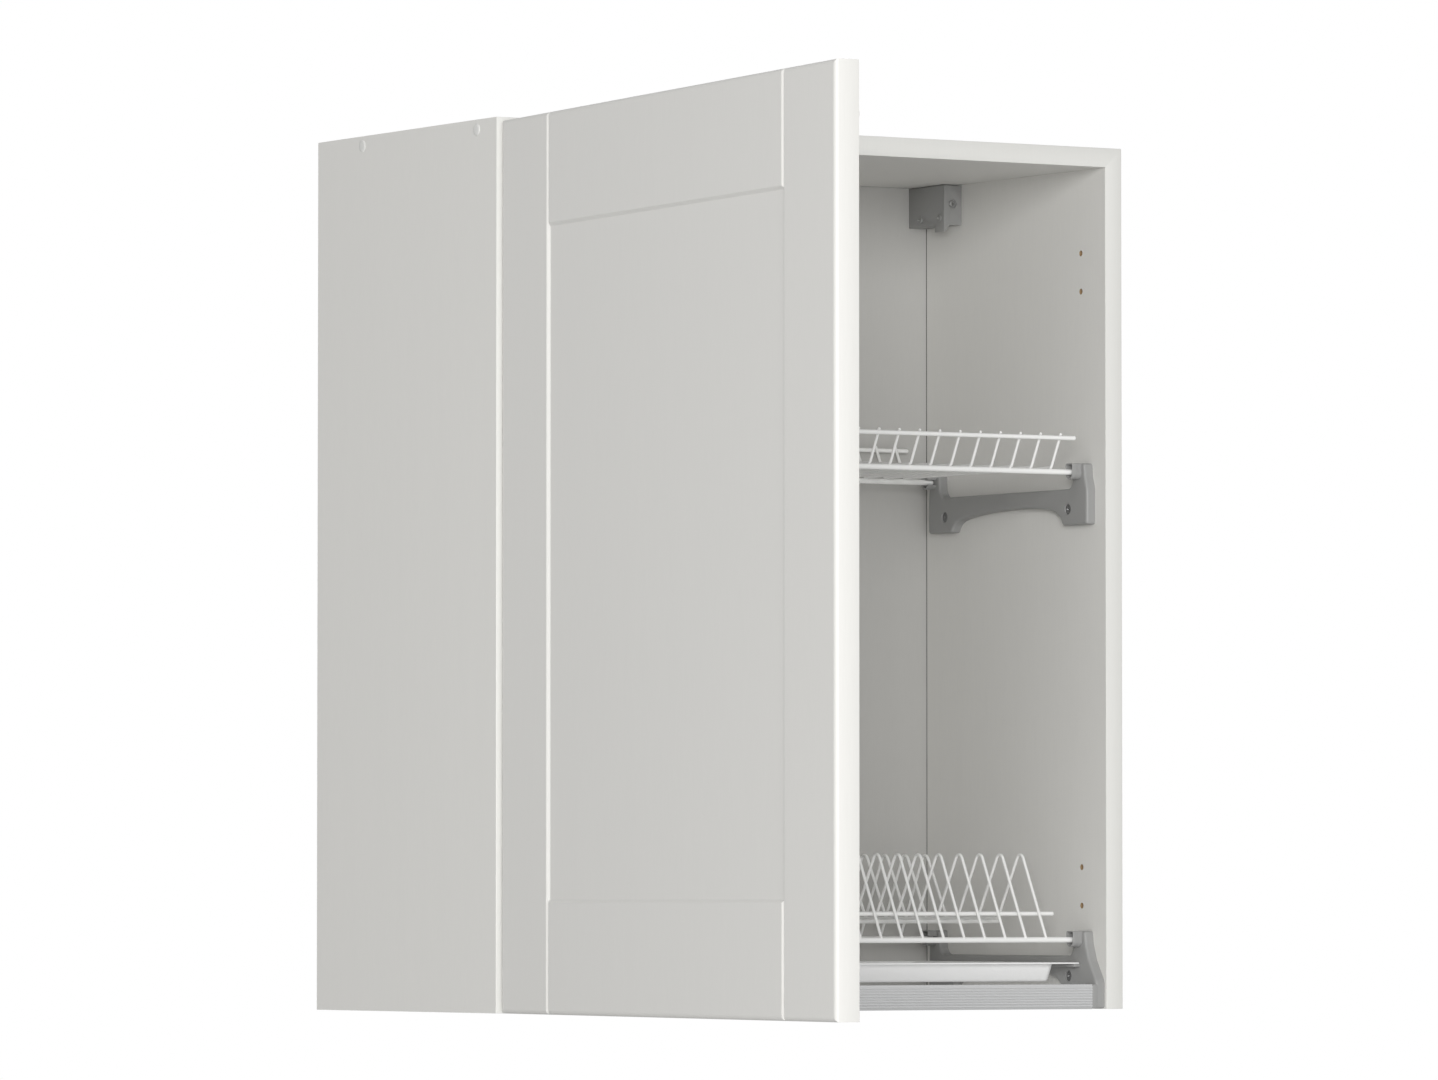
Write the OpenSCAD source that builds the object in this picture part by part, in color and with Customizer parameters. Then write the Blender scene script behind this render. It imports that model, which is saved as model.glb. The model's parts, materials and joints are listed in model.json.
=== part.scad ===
// Kitchen wall cabinet with a plate and cup drying rack behind one framed door.
// Millimetres. The origin is the middle of the top board's rear edge, on the wall.

/* [Carcass] */
// Outer width of the cabinet
cabinet_w = 600; // [560:10:640]
// Height of the side boards
cabinet_h = 715; // [705:1:730]
// Depth from the wall to the front edges
carcass_d = 295; // [290:1:310]
// Thickness of the boards
board_t = 16; // [15.5:0.1:16.5]
// Thickness of the strip glued on each front edge
edge_band_t = 0.8; // [0.5:0.1:1]
// Thickness of the back panel
back_t = 3; // [2.5:0.1:4]
// Space between the back panel and the wall
back_inset = 16; // [14:0.5:18]
// Depth of the groove that holds the back panel
back_groove_d = 8; // [6:0.5:9]
// Radius of the dowels between side and top
dowel_r = 4; // [3:0.5:4.5]
// Shank radius of the screws between side and top
joint_screw_r = 2.4; // [2:0.1:2.8]
// Radius of the caps that cover those screws
screw_cap_r = 5; // [4.5:0.25:6]

/* [Row of system holes] */
// Distance of the hinge holes from the front edge
system_setback = 37; // [36:0.5:38]
// Spacing of the hinge holes in a pair
system_pitch = 32; // [31:0.5:33]
// Radius of the hinge holes
system_hole_r = 2.5; // [2.3:0.1:2.6]
// Depth of the hinge holes
system_hole_d = 11; // [10.5:0.5:13]
// Height of each hinge's middle from the nearer end of the cabinet
hinge_margin = 101.5; // [98:0.5:108]

/* [Door] */
// Thickness of the door
door_t = 20; // [18.5:0.1:21]
// How far the door stays inside each cabinet side
door_side_gap = 2; // [1.5:0.1:3]
// How far the door stays below the cabinet top
door_top_gap = 3; // [2:0.5:4]
// Gap between the closed door and the front edges
door_front_gap = 2; // [1.8:0.1:2.5]
// Width of the stiles and rails
frame_w = 88; // [76:1:96]
// Width of the groove along each stile
groove_w = 4.4; // [3:0.1:5]
// Depth of the centre panel below the frame
panel_recess = 2.5; // [2:0.25:4]
// Rounding of the outer edges of the door
door_edge_r = 3.5; // [2:0.25:4]
// Opening angle of the door as it stands
door_open_angle = 95.58; // [90:0.5:100]
// Radius of the soft bumpers on the door
bumper_r = 4; // [3:0.25:5]
// Distance of the bumpers from the ends of the door
bumper_margin = 40; // [30:1:60]

/* [Hinges] */
// Radius of the hinge cup
cup_r = 17.4; // [17:0.1:17.4]
// Depth of the hinge cup
cup_d = 11.3; // [11:0.1:12]
// Distance of the cup centre from the door edge
cup_inset = 20.5; // [20.3:0.1:21]
// Distance of the cup pins from the door edge
cup_pin_inset = 12; // [11.6:0.1:12.4]
// Depth of the cup pins below the inner face of the door
cup_pin_depth = 2; // [1.8:0.05:2.2]
// Radius of the cup pins
cup_pin_r = 1; // [0.9:0.05:1.1]
// Radius of the pins in the hinge arm
arm_pin_r = 1.25; // [1.1:0.05:1.4]
// Running clearance around the hinge pins
pin_clearance = 0.05; // [0.03:0.01:0.08]
// Distance of the arm pin from the side board
arm_pin_x = 11.52; // [11.3:0.01:11.7]
// Distance of the arm pin in front of the front edges
arm_pin_y = 5.17; // [5:0.01:5.3]
// Turn of the hinge links from closed to the open door as it stands
link_turn = 60; // [58:0.5:62]

/* [Rack brackets] */
// Thickness of the bracket plates
bracket_t = 8.5; // [8:0.25:10]
// Height of the cup rack's support wires above the cabinet bottom
cup_wire_z = 446; // [436:1:456]
// Height of the plate rack's support wires above the cabinet bottom
plate_wire_z = 57.2; // [56.5:0.1:58]
// Distance of the front support wires from the front edges
front_wire_y = 29; // [28.5:0.1:29.5]
// Distance of the rear support wires from the back panel
rear_wire_gap = 24; // [23:0.5:26]
// Length of the sockets that hold the support wires
socket_l = 9; // [8:0.1:10]
// Clearance of the wires in their sockets
socket_clearance = 0.1; // [0.05:0.05:0.2]
// Shank radius of the bracket screws
bracket_screw_r = 1.9; // [1.7:0.1:2.1]
// Head radius of the bracket screws
bracket_screw_head_r = 4.5; // [4:0.1:5]

/* [Racks] */
// Radius of the support wires
support_r = 2.5; // [2.2:0.1:2.6]
// Radius of the long wires
long_wire_r = 2; // [1.8:0.1:2.2]
// Radius of the cup rack's cross wires
cross_wire_r = 1.4; // [1.2:0.1:1.5]
// Radius of the plate dividers
divider_r = 1.5; // [1.3:0.1:1.7]
// Depth that crossing wires are welded into each other
weld_depth = 0.4; // [0.2:0.1:0.6]
// Number of cross wires in the cup rack
cross_wire_count = 26; // [24:1:28]
// Distance of the last cross wire from the end of the rim wire
cross_wire_margin = 14; // [8:0.5:22]
// Number of dividers in the plate rack
divider_count = 25; // [23:1:26]
// Distance of the last divider from the end of the long wires
divider_margin = 17; // [8:0.5:24]
// Height of the cup rack's slanted fence above its wires
fence_h = 27.3; // [24:0.1:34]
// Height of the dividers' tips above the support wires
divider_h = 71; // [66:1:80]
// Bend radius of the dividers
wire_bend_r = 6; // [4.5:0.25:7]

/* [Drip tray] */
// Depth of the tray's basin
tray_h = 15.7; // [13:0.1:16]
// Thickness of the tray
tray_t = 1.3; // [1:0.1:1.6]
// Width of the tray's rim
tray_rim_w = 21; // [20:0.5:28]
// Slope of the basin walls, as their run from top to bottom
tray_draft = 3.5; // [3:0.5:7]
// Gap between the tray's rim and the pieces beside it
tray_gap = 0.3; // [0.2:0.1:0.5]

/* [Front profile] */
// Height of the metal profile along the bottom
profile_h = 20.5; // [18:0.5:21]
// Depth of the profile
profile_d = 16; // [14:0.5:18]
// Wall thickness of the profile
profile_t = 1.6; // [1.2:0.1:2]
// Number of fine ribs on the profile's front
rib_count = 8; // [5:1:9]
// Clearance of the bracket's lug in the profile
lug_clearance = 0.3; // [0.2:0.05:0.5]

/* [Hangers] */
// Width of the hanger housing
hanger_w = 17.5; // [17:0.25:19]
// Depth of the hanger housing
hanger_d = 56; // [54:0.5:60]
// Height of the hanger housing
hanger_h = 34.3; // [33:0.1:36]
// Thickness of the hanger's steel hook
hook_t = 2.5; // [2:0.1:3]
// Height of the hook's arm
hook_h = 14; // [12:0.5:15]
// Space between the hook and the wall
hook_wall_gap = 5; // [4.5:0.25:6]
// Running gap around the hook in the housing
hook_clearance = 0.3; // [0.2:0.05:0.4]

/* [Hidden] */
$fn = 48;

half_w = cabinet_w / 2;
inner_x = half_w - board_t;
top_z = cabinet_h - board_t;
joint_z = cabinet_h - board_t / 2;
back_y = carcass_d - back_inset - back_t;
fit_gap = 0.1;
groove_play = 1;
slit = 0.01;
wire_sides = 8;
bend_steps = 2;

// Corner joints between the side boards and the top
joint_screw_y = [32, carcass_d - 75];
joint_dowel_y = [80, carcass_d - 123];
dowel_l = 34;
dowel_in_side = 11;
joint_screw_l = 46;
joint_head_r = joint_screw_r + 1.1;
joint_head_t = 3;
joint_socket_r = 2;
joint_socket_d = 2;
cap_t = 0.9;
cap_stem_r = joint_head_r - 0.4;
cap_stem_l = 2;

// Hinge heights and door size
hinge_z = [hinge_margin, cabinet_h - hinge_margin];
door_w = cabinet_w - 2 * door_side_gap;
door_h = cabinet_h - door_top_gap;

// Hinge pins: the arm pin, the second arm pin and the cup pin with the door closed
arm_pin = [-inner_x + arm_pin_x, -arm_pin_y];
second_pin_step = [7.6, -1.3];
second_pin = arm_pin + second_pin_step;
cup_pin_closed = [-half_w + door_side_gap + cup_pin_inset, -door_front_gap - cup_pin_depth];
link_closed = cup_pin_closed - arm_pin;
link_l = norm(link_closed);
link_angle = atan2(link_closed[1], link_closed[0]) + link_turn;
cup_pin = arm_pin + link_l * [cos(link_angle), sin(link_angle)];

// Layers of the hinge, counted from its middle height
inner_link_half = 3;
ear_in = 3.3;
ear_t = 2;
link_in = 5.6;
link_t = 2;
link_eye_r = 2.3;
link_half_w = 1.4;
link_bow = 3.6;
inner_link_l = 17;
inner_link_angle = -152;
inner_link_r = 1.1;
eye_rim = 0.9;
inner_eye_r = arm_pin_r + eye_rim;
cup_eye_r = cup_pin_r + eye_rim;
pin_end_gap = 0.2;
pin_head = 0.4;
cup_wall = 1;
cup_lip_t = 1.2;
cup_lip_r = cup_r + 1.6;
cup_wing_z = 24;
cup_screw_z = 22.5;
cup_screw_x = cup_inset + 9.5;
cup_screw_r = 1.75;
cup_screw_l = 13;
cup_screw_head_r = 3;
cup_screw_head_t = 0.5;
cup_wing_half_x = 6;
cup_wing_end = 4;
bumper_t = door_front_gap - 0.6;
cup_hole_clearance = 0.1;
cup_bore_r = cup_r + cup_hole_clearance;
cup_pin_reach = 13.3;
plate_wing_z = 23;
plate_wing_w = 13;
plate_wing_t = 2.5;
plate_ridge_t = 7.5;
plate_ridge_half = 5.5;
plate_y = [12, 62];
plate_hole_d = 1;
plate_head_r = 4;
plate_head_t = 1.6;
arm_half = 8;
arm_t = 1.5;
arm_top = 13.5;
arm_y = [3, 60];
arm_side_x = 4;
arm_side_start = 8;
ear_root = 4;
arm_screw_y = [22, 48];
arm_screw_r = 2;
arm_screw_head_r = 3.6;
arm_screw_head_t = 1.4;
arm_screw_start = 2;

// Crossed slots in screw heads
cross_half = 2.5;
cross_w = 0.8;
cross_d = 0.8;

// Brackets: outline heights count from the axis of the support wires
head_top = 7.3;
arm_edge = -12.6;
foot_low = -43.5;
arch_top = -27.8;
rear_wire_y = back_y - rear_wire_gap;
wire_spread = rear_wire_y - front_wire_y;
head_front_y = front_wire_y - 8.6;
foot_front_y = front_wire_y - 13.1;
head_w = 16.8;
head_step = [-1.8, -6.3];
foot_w = 37.4;
foot_rise = 11;
bracket_rear_y = rear_wire_y + 8;
rear_head_w = 16.6;
rear_foot_w = 36.3;
arch_step_y = 12;
arch_flat_y = [48, 72];
arch_low = [4, 6];
head_fillet = 5.3;
socket_h_below = 6.1;
socket_w = 10.5;
socket_slot = 0.8;
socket_wall = 1.2;
socket_hub_t = 3.6;
socket_bowl_z = socket_w / 2 - socket_h_below;
lower_foot_y = 3;
lower_foot_z = 0.5;
bracket_in = inner_x - bracket_t;
bracket_screw_y = [front_wire_y + 15.7, rear_wire_y - 17.8];
bracket_screw_drop = 30.1;
bracket_screw_l = 17;
screw_hole_end = 1.5;
countersink_t = 3;

// Profile, and the foot pad and lug that each lower bracket holds it with
profile_y = lower_foot_y - 0.4;
foot_pad_t = 4;
lug_l = 16;
profile_half = bracket_in - foot_pad_t - fit_gap;
profile_screw_x = bracket_in - (lug_l + foot_pad_t) / 2;
rib_margin = 1.5;
rib_pitch = (profile_h - 2 * rib_margin) / rib_count;
rib_t = 0.5;
profile_screw_r = 1.6;
profile_screw_head_r = 3;
profile_screw_head_t = 1.4;
profile_screw_l = 11;

// Drip tray on its ledges
rim_z = 38.4;
ledge_t = 2.4;
ledge_w = 6;
ledge_z = rim_z - tray_t - tray_gap / 3 - ledge_t;
tray_y = [front_wire_y - 3, rear_wire_y + 10];
ledge_y = [tray_y[0] + 1, rear_wire_y];
tray_lip = 9;
rim_half = bracket_in - tray_gap;

// Cup rack: a floor of cross wires on the supports, with a slanted fence at each side
cross_z = cup_wire_z + support_r + cross_wire_r - weld_depth;
fence_bend_run = 2;
fence_bend_r = 2.5;
fence_bend_y = front_wire_y - fence_bend_run;
fence_run = 14.3;
fence_rim_drop = 2.2;
long_wire_gap = 22.5;
rim_wire_half = inner_x - long_wire_gap;
cross_wire_span = 2 * (rim_wire_half - cross_wire_margin);
wire_end = bracket_in - socket_clearance;
fence_dir = [-fence_run, fence_h] / norm([-fence_run, fence_h]);
fence_rim = [fence_bend_y - fence_run, cross_z + fence_h] - fence_rim_drop * fence_dir
    + (cross_wire_r + long_wire_r - weld_depth) * [-fence_dir[1], fence_dir[0]];

// Plate rack: outline of one divider as [depth, height above the support wires]
valley = 17.9;
apex_h = divider_h + wire_bend_r;
tip_run = 38;
valley_run = 72;
divider_y = [
    front_wire_y + tip_run, front_wire_y + valley_run, rear_wire_y - valley_run, rear_wire_y - tip_run
];
front_leg = [divider_y[0] - front_wire_y, apex_h] / norm([divider_y[0] - front_wire_y, apex_h]);
rear_leg = [divider_y[3] - rear_wire_y, apex_h] / norm([divider_y[3] - rear_wire_y, apex_h]);
leg_start = support_r - weld_depth;
divider_path = [
    [front_wire_y, 0] + leg_start * front_leg, [divider_y[0], apex_h], [divider_y[1], valley],
    [divider_y[2], valley], [divider_y[3], apex_h], [rear_wire_y, 0] + leg_start * rear_leg
];
leg_wire_run = 25.5;
wire_step = divider_r + long_wire_r - weld_depth;
front_leg_wire = [front_wire_y, 0] + leg_wire_run * front_leg
    + wire_step * [front_leg[1], -front_leg[0]];
rear_leg_wire = [rear_wire_y, 0] + leg_wire_run * rear_leg
    + wire_step * [-rear_leg[1], rear_leg[0]];
valley_wire_run = 25;
valley_wire_y = [divider_y[1] + valley_wire_run, divider_y[2] - valley_wire_run];
long_wire_inset = 2;
long_wire_half = rim_wire_half - long_wire_inset;
divider_span = 2 * (long_wire_half - divider_margin);

// Hangers in the upper rear corners
hanger_y = back_y - hanger_d;
hanger_low = top_z - hanger_h;
hanger_wall = 2.5;
hanger_top_gap = 0.7;
hanger_in = inner_x - hanger_w;
bump_y = 15;
bump_x = 0.8;
bump_end = 5.6;
bump_h = 6;
hook_z = top_z - 16.2;
hook_x = hanger_in + 7.2;
hook_start_y = hanger_y + 24;
hook_tip_y = carcass_d - hook_wall_gap;
hook_tip_t = 4;
hook_tip_h = 9;
hook_travel = 7;
hanger_screw_z = hanger_low + 5.8;
hanger_screw_y = [hanger_y + 7.5, hanger_y + 38];
hanger_screw_r = 1.8;
hanger_screw_head_r = 3.4;
hanger_screw_l = 28;
hanger_head_t = 1.2;
adjuster_r = 2.6;
adjuster_head_r = 3.3;
adjuster_head_t = 1.2;
adjuster_well_r = 4;
adjuster_well_d = 1.6;
adjuster_slot_half = 3;
adjuster_slot_w = 1;
adjuster_slot_d = 0.6;

board_color = "#c8c8c6";
band_color = "#dededb";
door_color = "#c8c7c2";
steel_color = "#a9abad";
dark_steel_color = "#8f9194";
plastic_color = "#7d7e80";
wire_color = "#e2e2e0";

// Moves a piece from the cabinet's bottom and front edges to the origin on the wall
module in_cabinet() {
    translate([0, -carcass_d, -joint_z]) children();
}

// Waste of two crossed slots in a screw head whose face is at x = 0
module cross_slots() {
    translate([-cross_d, -cross_half, -cross_w / 2]) cube([2 * cross_d, 2 * cross_half, cross_w]);
    translate([-cross_d, -cross_w / 2, -cross_half]) cube([2 * cross_d, cross_w, 2 * cross_half]);
}

// Repeats a piece on the other side
module on_both_sides() {
    for (side = [0, 1]) mirror([side, 0, 0]) children();
}

// Stands a flat outline of [depth, height] up and gives it a width
module upright(width) {
    rotate([90, 0, 90]) linear_extrude(width) children();
}

// A cylinder along +X
module rod_x(length, radius) {
    rotate([0, 90, 0]) cylinder(h = length, r = radius);
}

// Signed angle from one flat direction to the next
function turn_between(a, b) = atan2(a[0] * b[1] - a[1] * b[0], a[0] * b[0] + a[1] * b[1]);

// Unit vector from one point of a path to the next
function step_dir(path, i) = (path[i + 1] - path[i]) / norm(path[i + 1] - path[i]);

// Flat path with each corner replaced by points on an arc of the bend radius
function rounded_path(path, bend_r) = let (last = len(path) - 1) [
    path[0],
    for (i = [1:last - 1])
        let (
            before = step_dir(path, i - 1),
            turn = turn_between(before, step_dir(path, i)),
            side = sign(turn),
            normal = side * [-before[1], before[0]],
            centre = path[i] - before * bend_r * tan(abs(turn) / 2) + normal * bend_r
        )
        for (k = [0:bend_steps])
            let (angle = abs(turn) * k / bend_steps)
            centre + bend_r * (sin(angle) * before - cos(angle) * normal),
    path[last]
];

// A wire with flat sides along flat points, with bends of one radius
module bent_wire(path, wire_r, bend_r) {
    points = rounded_path(path, bend_r);
    last = len(points) - 1;
    rings = [
        for (i = [0:last])
            let (
                before = step_dir(points, max(i - 1, 0)),
                after = step_dir(points, min(i, last - 1)),
                along = (before + after) / norm(before + after),
                reach = wire_r / (along * after)
            )
            for (k = [0:wire_sides - 1])
                let (angle = 360 * (k + 0.5) / wire_sides)
                [
                    points[i][0] - reach * cos(angle) * along[1],
                    points[i][1] + reach * cos(angle) * along[0],
                    wire_r * sin(angle)
                ]
    ];
    sides = [
        for (i = [0:last - 1], k = [0:wire_sides - 1])
            let (next = (k + 1) % wire_sides, low = i * wire_sides)
            [low + k, low + wire_sides + k, low + wire_sides + next, low + next]
    ];
    start_cap = [for (k = [0:wire_sides - 1]) k];
    end_cap = [for (k = [wire_sides - 1:-1:0]) last * wire_sides + k];
    polyhedron(points = rings, faces = concat([start_cap, end_cap], sides));
}

module side_panel() {
    difference() {
        translate([inner_x, edge_band_t, 0]) cube([board_t, carcass_d - edge_band_t, cabinet_h]);
        translate([inner_x - 1, back_y - groove_play, -1])
            cube([back_groove_d + 1, groove_play + back_t + fit_gap, cabinet_h + 2]);
        for (z = hinge_z, pair = [-0.5, 0.5])
            translate([inner_x - 1, system_setback, z + pair * system_pitch])
                rod_x(system_hole_d + 1, system_hole_r);
        for (y = joint_screw_y) translate([inner_x - 1, y, joint_z]) rod_x(board_t + 2, joint_head_r);
        for (y = joint_dowel_y)
            translate([inner_x - 1, y, joint_z]) rod_x(dowel_in_side + 1, dowel_r + fit_gap);
        for (y = bracket_screw_y, z = [cup_wire_z, plate_wire_z])
            translate([inner_x - 1, y, z - bracket_screw_drop])
                rod_x(bracket_screw_l - bracket_t + screw_hole_end, bracket_screw_r + fit_gap);
        for (y = hanger_screw_y) translate([inner_x - 1, y, hanger_screw_z])
            rod_x(hanger_screw_l - hanger_w + screw_hole_end, hanger_screw_r + fit_gap);
    }
}

module left_side_panel() {
    color(board_color) in_cabinet() mirror([1, 0, 0]) side_panel();
}

module right_side_panel() {
    color(board_color) in_cabinet() side_panel();
}

module top_panel() {
    color(board_color) in_cabinet() difference() {
        translate([-inner_x, edge_band_t, top_z])
            cube([2 * inner_x, carcass_d - edge_band_t, board_t]);
        translate([-inner_x - 1, back_y - groove_play, top_z - 1])
            cube([2 * inner_x + 2, groove_play + back_t + fit_gap, back_groove_d + 1]);
        on_both_sides() {
            for (y = joint_screw_y)
                translate([inner_x - joint_screw_l, y, joint_z]) rod_x(joint_screw_l + 1, joint_screw_r);
            for (y = joint_dowel_y)
                translate([inner_x - dowel_l, y, joint_z]) rod_x(dowel_l + 1, dowel_r + fit_gap);
        }
    }
}

module back_panel() {
    back_half = inner_x + back_groove_d - fit_gap;
    back_top = top_z + back_groove_d - fit_gap;
    color("#b9bab8") in_cabinet() difference() {
        translate([-back_half, back_y, 0]) cube([2 * back_half, back_t, back_top]);
        on_both_sides() translate([hanger_in + hanger_wall, back_y - 1, hanger_low + hanger_wall])
            cube([hanger_w - 2 * hanger_wall, back_t + 2, hanger_h - 2 * hanger_wall]);
    }
}

module front_edge_bands() {
    color(band_color) in_cabinet() {
        on_both_sides() translate([inner_x, 0, 0]) cube([board_t, edge_band_t, cabinet_h]);
        translate([-inner_x, 0, top_z]) cube([2 * inner_x, edge_band_t, board_t]);
    }
}

module corner_dowels() {
    color("#c9a878") in_cabinet() on_both_sides() for (y = joint_dowel_y)
        translate([inner_x + dowel_in_side - dowel_l, y, joint_z]) rod_x(dowel_l, dowel_r);
}

module corner_screws() {
    head_x = half_w - cap_stem_l - joint_head_t - fit_gap;
    color(steel_color) in_cabinet() on_both_sides() for (y = joint_screw_y) translate([0, y, joint_z]) {
        translate([inner_x - joint_screw_l + 1, 0, 0])
            rod_x(head_x - inner_x + joint_screw_l - 1, joint_screw_r - fit_gap);
        translate([head_x, 0, 0]) difference() {
            rod_x(joint_head_t, joint_head_r - fit_gap);
            translate([joint_head_t - joint_socket_d, 0, 0]) rotate([0, 90, 0])
                cylinder(h = joint_socket_d + 1, r = joint_socket_r, $fn = 6);
        }
    }
}

module screw_caps() {
    color("#d4d4d1") in_cabinet() on_both_sides() for (y = joint_screw_y) translate([0, y, joint_z]) {
        translate([half_w, 0, 0]) rod_x(cap_t, screw_cap_r);
        translate([half_w - cap_stem_l, 0, 0]) rod_x(cap_stem_l, cap_stem_r);
    }
}

// Places what the door carries; x runs from its hinge edge, y from its outer face
module on_door() {
    in_cabinet() translate([cup_pin[0], cup_pin[1], 0]) rotate([0, 0, -door_open_angle])
        translate([-cup_pin_inset, cup_pin_depth - door_t, 0]) children();
}

// Waste outside a quarter round in the corner of a flat outline
module corner_waste() {
    difference() {
        translate([-1, -1]) square(door_edge_r + 1);
        translate([door_edge_r, door_edge_r]) circle(r = door_edge_r);
    }
}

// Flat outline of a recess with sloping ends, from just outside the face to its floor
module recess_section(length) {
    polygon([
        [-1, -1], [length + 1, -1],
        [length - panel_recess, panel_recess], [panel_recess, panel_recess]
    ]);
}

// Recess of the centre panel; its sloping sides start at the outer edges of the grooves
module door_recess() {
    hole_w = door_w - 2 * frame_w + groove_w;
    hole_h = door_h - 2 * frame_w;
    translate([frame_w - groove_w / 2, 0, frame_w]) intersection() {
        linear_extrude(hole_h) recess_section(hole_w);
        rotate([90, 0, 90]) linear_extrude(hole_w) rotate([0, 0, 90]) mirror([0, 1])
            recess_section(hole_h);
    }
}

module door_front() {
    color(door_color) on_door() difference() {
        cube([door_w, door_t, door_h]);
        door_recess();
        for (x = [frame_w, door_w - frame_w]) translate([x, 0, -1])
            linear_extrude(door_h + 2) rotate([0, 0, 45]) square(groove_w / sqrt(2), center = true);
        translate([-1, 0, 0]) upright(door_w + 2) corner_waste();
        translate([-1, 0, door_h]) mirror([0, 0, 1]) upright(door_w + 2) corner_waste();
        translate([0, 0, -1]) linear_extrude(door_h + 2) corner_waste();
        translate([door_w, 0, -1]) mirror([1, 0, 0]) linear_extrude(door_h + 2) corner_waste();
        for (z = hinge_z) {
            translate([cup_inset, door_t - cup_d - fit_gap, z]) rotate([-90, 0, 0])
                cylinder(h = cup_d + 1, r = cup_bore_r);
            for (side = [-1, 1])
                translate([cup_screw_x, door_t - cup_screw_l, z + side * cup_screw_z])
                    rotate([-90, 0, 0]) cylinder(h = cup_screw_l + 1, r = cup_screw_r);
        }
    }
}

module door_bumpers() {
    bumper_x = door_w + door_side_gap - board_t / 2;
    color("#e9e9e6") on_door() for (z = [bumper_margin, door_h - bumper_margin])
        translate([bumper_x, door_t, z]) rotate([-90, 0, 0]) cylinder(h = bumper_t, r = bumper_r);
}

module hinge_cups() {
    color(steel_color) on_door() for (z = hinge_z) translate([0, door_t, z]) difference() {
        union() {
            translate([cup_inset, -cup_d, 0]) rotate([-90, 0, 0]) cylinder(h = cup_d, r = cup_r);
            intersection() {
                translate([cup_inset, 0, 0]) rotate([-90, 0, 0]) cylinder(h = cup_lip_t, r = cup_lip_r);
                translate([cup_inset, 0, -cup_lip_r]) cube([cup_lip_r, cup_lip_t, 2 * cup_lip_r]);
            }
            translate([cup_screw_x - cup_wing_half_x, 0, -cup_wing_z - cup_wing_end])
                cube([2 * cup_wing_half_x, cup_lip_t, 2 * (cup_wing_z + cup_wing_end)]);
        }
        translate([cup_inset, cup_wall - cup_d, 0]) rotate([-90, 0, 0])
            cylinder(h = cup_d + cup_lip_t, r = cup_r - cup_wall);
        translate([cup_pin_inset, -cup_pin_depth, -cup_pin_reach])
            cylinder(h = 2 * cup_pin_reach, r = cup_pin_r);
        for (side = [-1, 1]) translate([cup_screw_x, -1, side * cup_screw_z])
            rotate([-90, 0, 0]) cylinder(h = cup_lip_t + 2, r = cup_screw_r + fit_gap);
    }
}

module hinge_cup_screws() {
    color(steel_color) on_door() for (z = hinge_z, side = [-1, 1])
        translate([cup_screw_x, door_t, z + side * cup_screw_z]) rotate([-90, 0, 0]) {
            translate([0, 0, 1 - cup_screw_l])
                cylinder(h = cup_screw_l - 1 + cup_lip_t, r = cup_screw_r - fit_gap);
            translate([0, 0, cup_lip_t]) cylinder(h = cup_screw_head_t, r = cup_screw_head_r);
        }
}

module hinge_cup_pins() {
    color(dark_steel_color) on_door() for (z = hinge_z, side = [0, 1])
        translate([cup_pin_inset, door_t - cup_pin_depth, z]) mirror([0, 0, side])
            translate([0, 0, link_in - pin_end_gap])
                cylinder(h = cup_pin_reach - link_in + pin_end_gap, r = cup_pin_r);
}

module hinge_plates() {
    ridge_l = plate_y[1] - plate_y[0];
    color(steel_color) in_cabinet() for (z = hinge_z) translate([-inner_x, 0, z]) difference() {
        union() {
            translate([0, system_setback - plate_wing_w / 2, -plate_wing_z])
                cube([plate_wing_t, plate_wing_w, 2 * plate_wing_z]);
            translate([0, plate_y[0], -plate_ridge_half])
                cube([plate_ridge_t, ridge_l, 2 * plate_ridge_half]);
        }
        for (side = [-1, 1]) translate([-1, system_setback, side * system_pitch / 2])
            rod_x(plate_wing_t + 2, system_hole_r - 2 * fit_gap);
        for (y = arm_screw_y) translate([plate_hole_d, y, 0]) rod_x(plate_ridge_t, arm_screw_r);
    }
}

module hinge_plate_screws() {
    color(steel_color) in_cabinet() for (z = hinge_z, side = [-1, 1])
        translate([-inner_x, system_setback, z + side * system_pitch / 2]) {
            translate([1 - system_hole_d, 0, 0])
                rod_x(system_hole_d - 1 + plate_wing_t, system_hole_r - 3 * fit_gap);
            translate([plate_wing_t, 0, 0]) rod_x(plate_head_t, plate_head_r);
        }
}

// Side outline of one ear, from the arm's body to the two pins
module ear_outline() {
    difference() {
        union() {
            translate(arm_pin) circle(r = link_eye_r);
            translate(second_pin) circle(r = inner_eye_r);
            polygon([
                arm_pin + [-link_eye_r, 0], second_pin + [0, -inner_eye_r],
                second_pin + [inner_eye_r, 0], [-inner_x + arm_top, arm_y[0] + ear_root],
                [arm_pin[0] - link_eye_r, arm_y[0] + ear_root]
            ]);
        }
        translate(arm_pin) circle(r = arm_pin_r);
        translate(second_pin) circle(r = arm_pin_r);
    }
}

module hinge_arms() {
    arm_l = arm_y[1] - arm_y[0];
    color("#b4b6b8") in_cabinet() for (z = hinge_z) translate([0, 0, z]) difference() {
        union() {
            translate([-inner_x + arm_top - arm_t, arm_y[0], -arm_half])
                cube([arm_t, arm_l, 2 * arm_half]);
            for (side = [0, 1]) mirror([0, 0, side]) {
                translate([-inner_x + arm_side_x, arm_y[0] + arm_side_start, arm_half - arm_t])
                    cube([arm_top - arm_side_x, arm_l - arm_side_start, arm_t]);
                translate([0, 0, ear_in]) linear_extrude(ear_t) ear_outline();
            }
        }
        for (y = arm_screw_y) translate([-inner_x + arm_top - arm_t - 1, y, 0])
            rod_x(arm_t + 2, arm_screw_r + fit_gap);
    }
}

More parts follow.
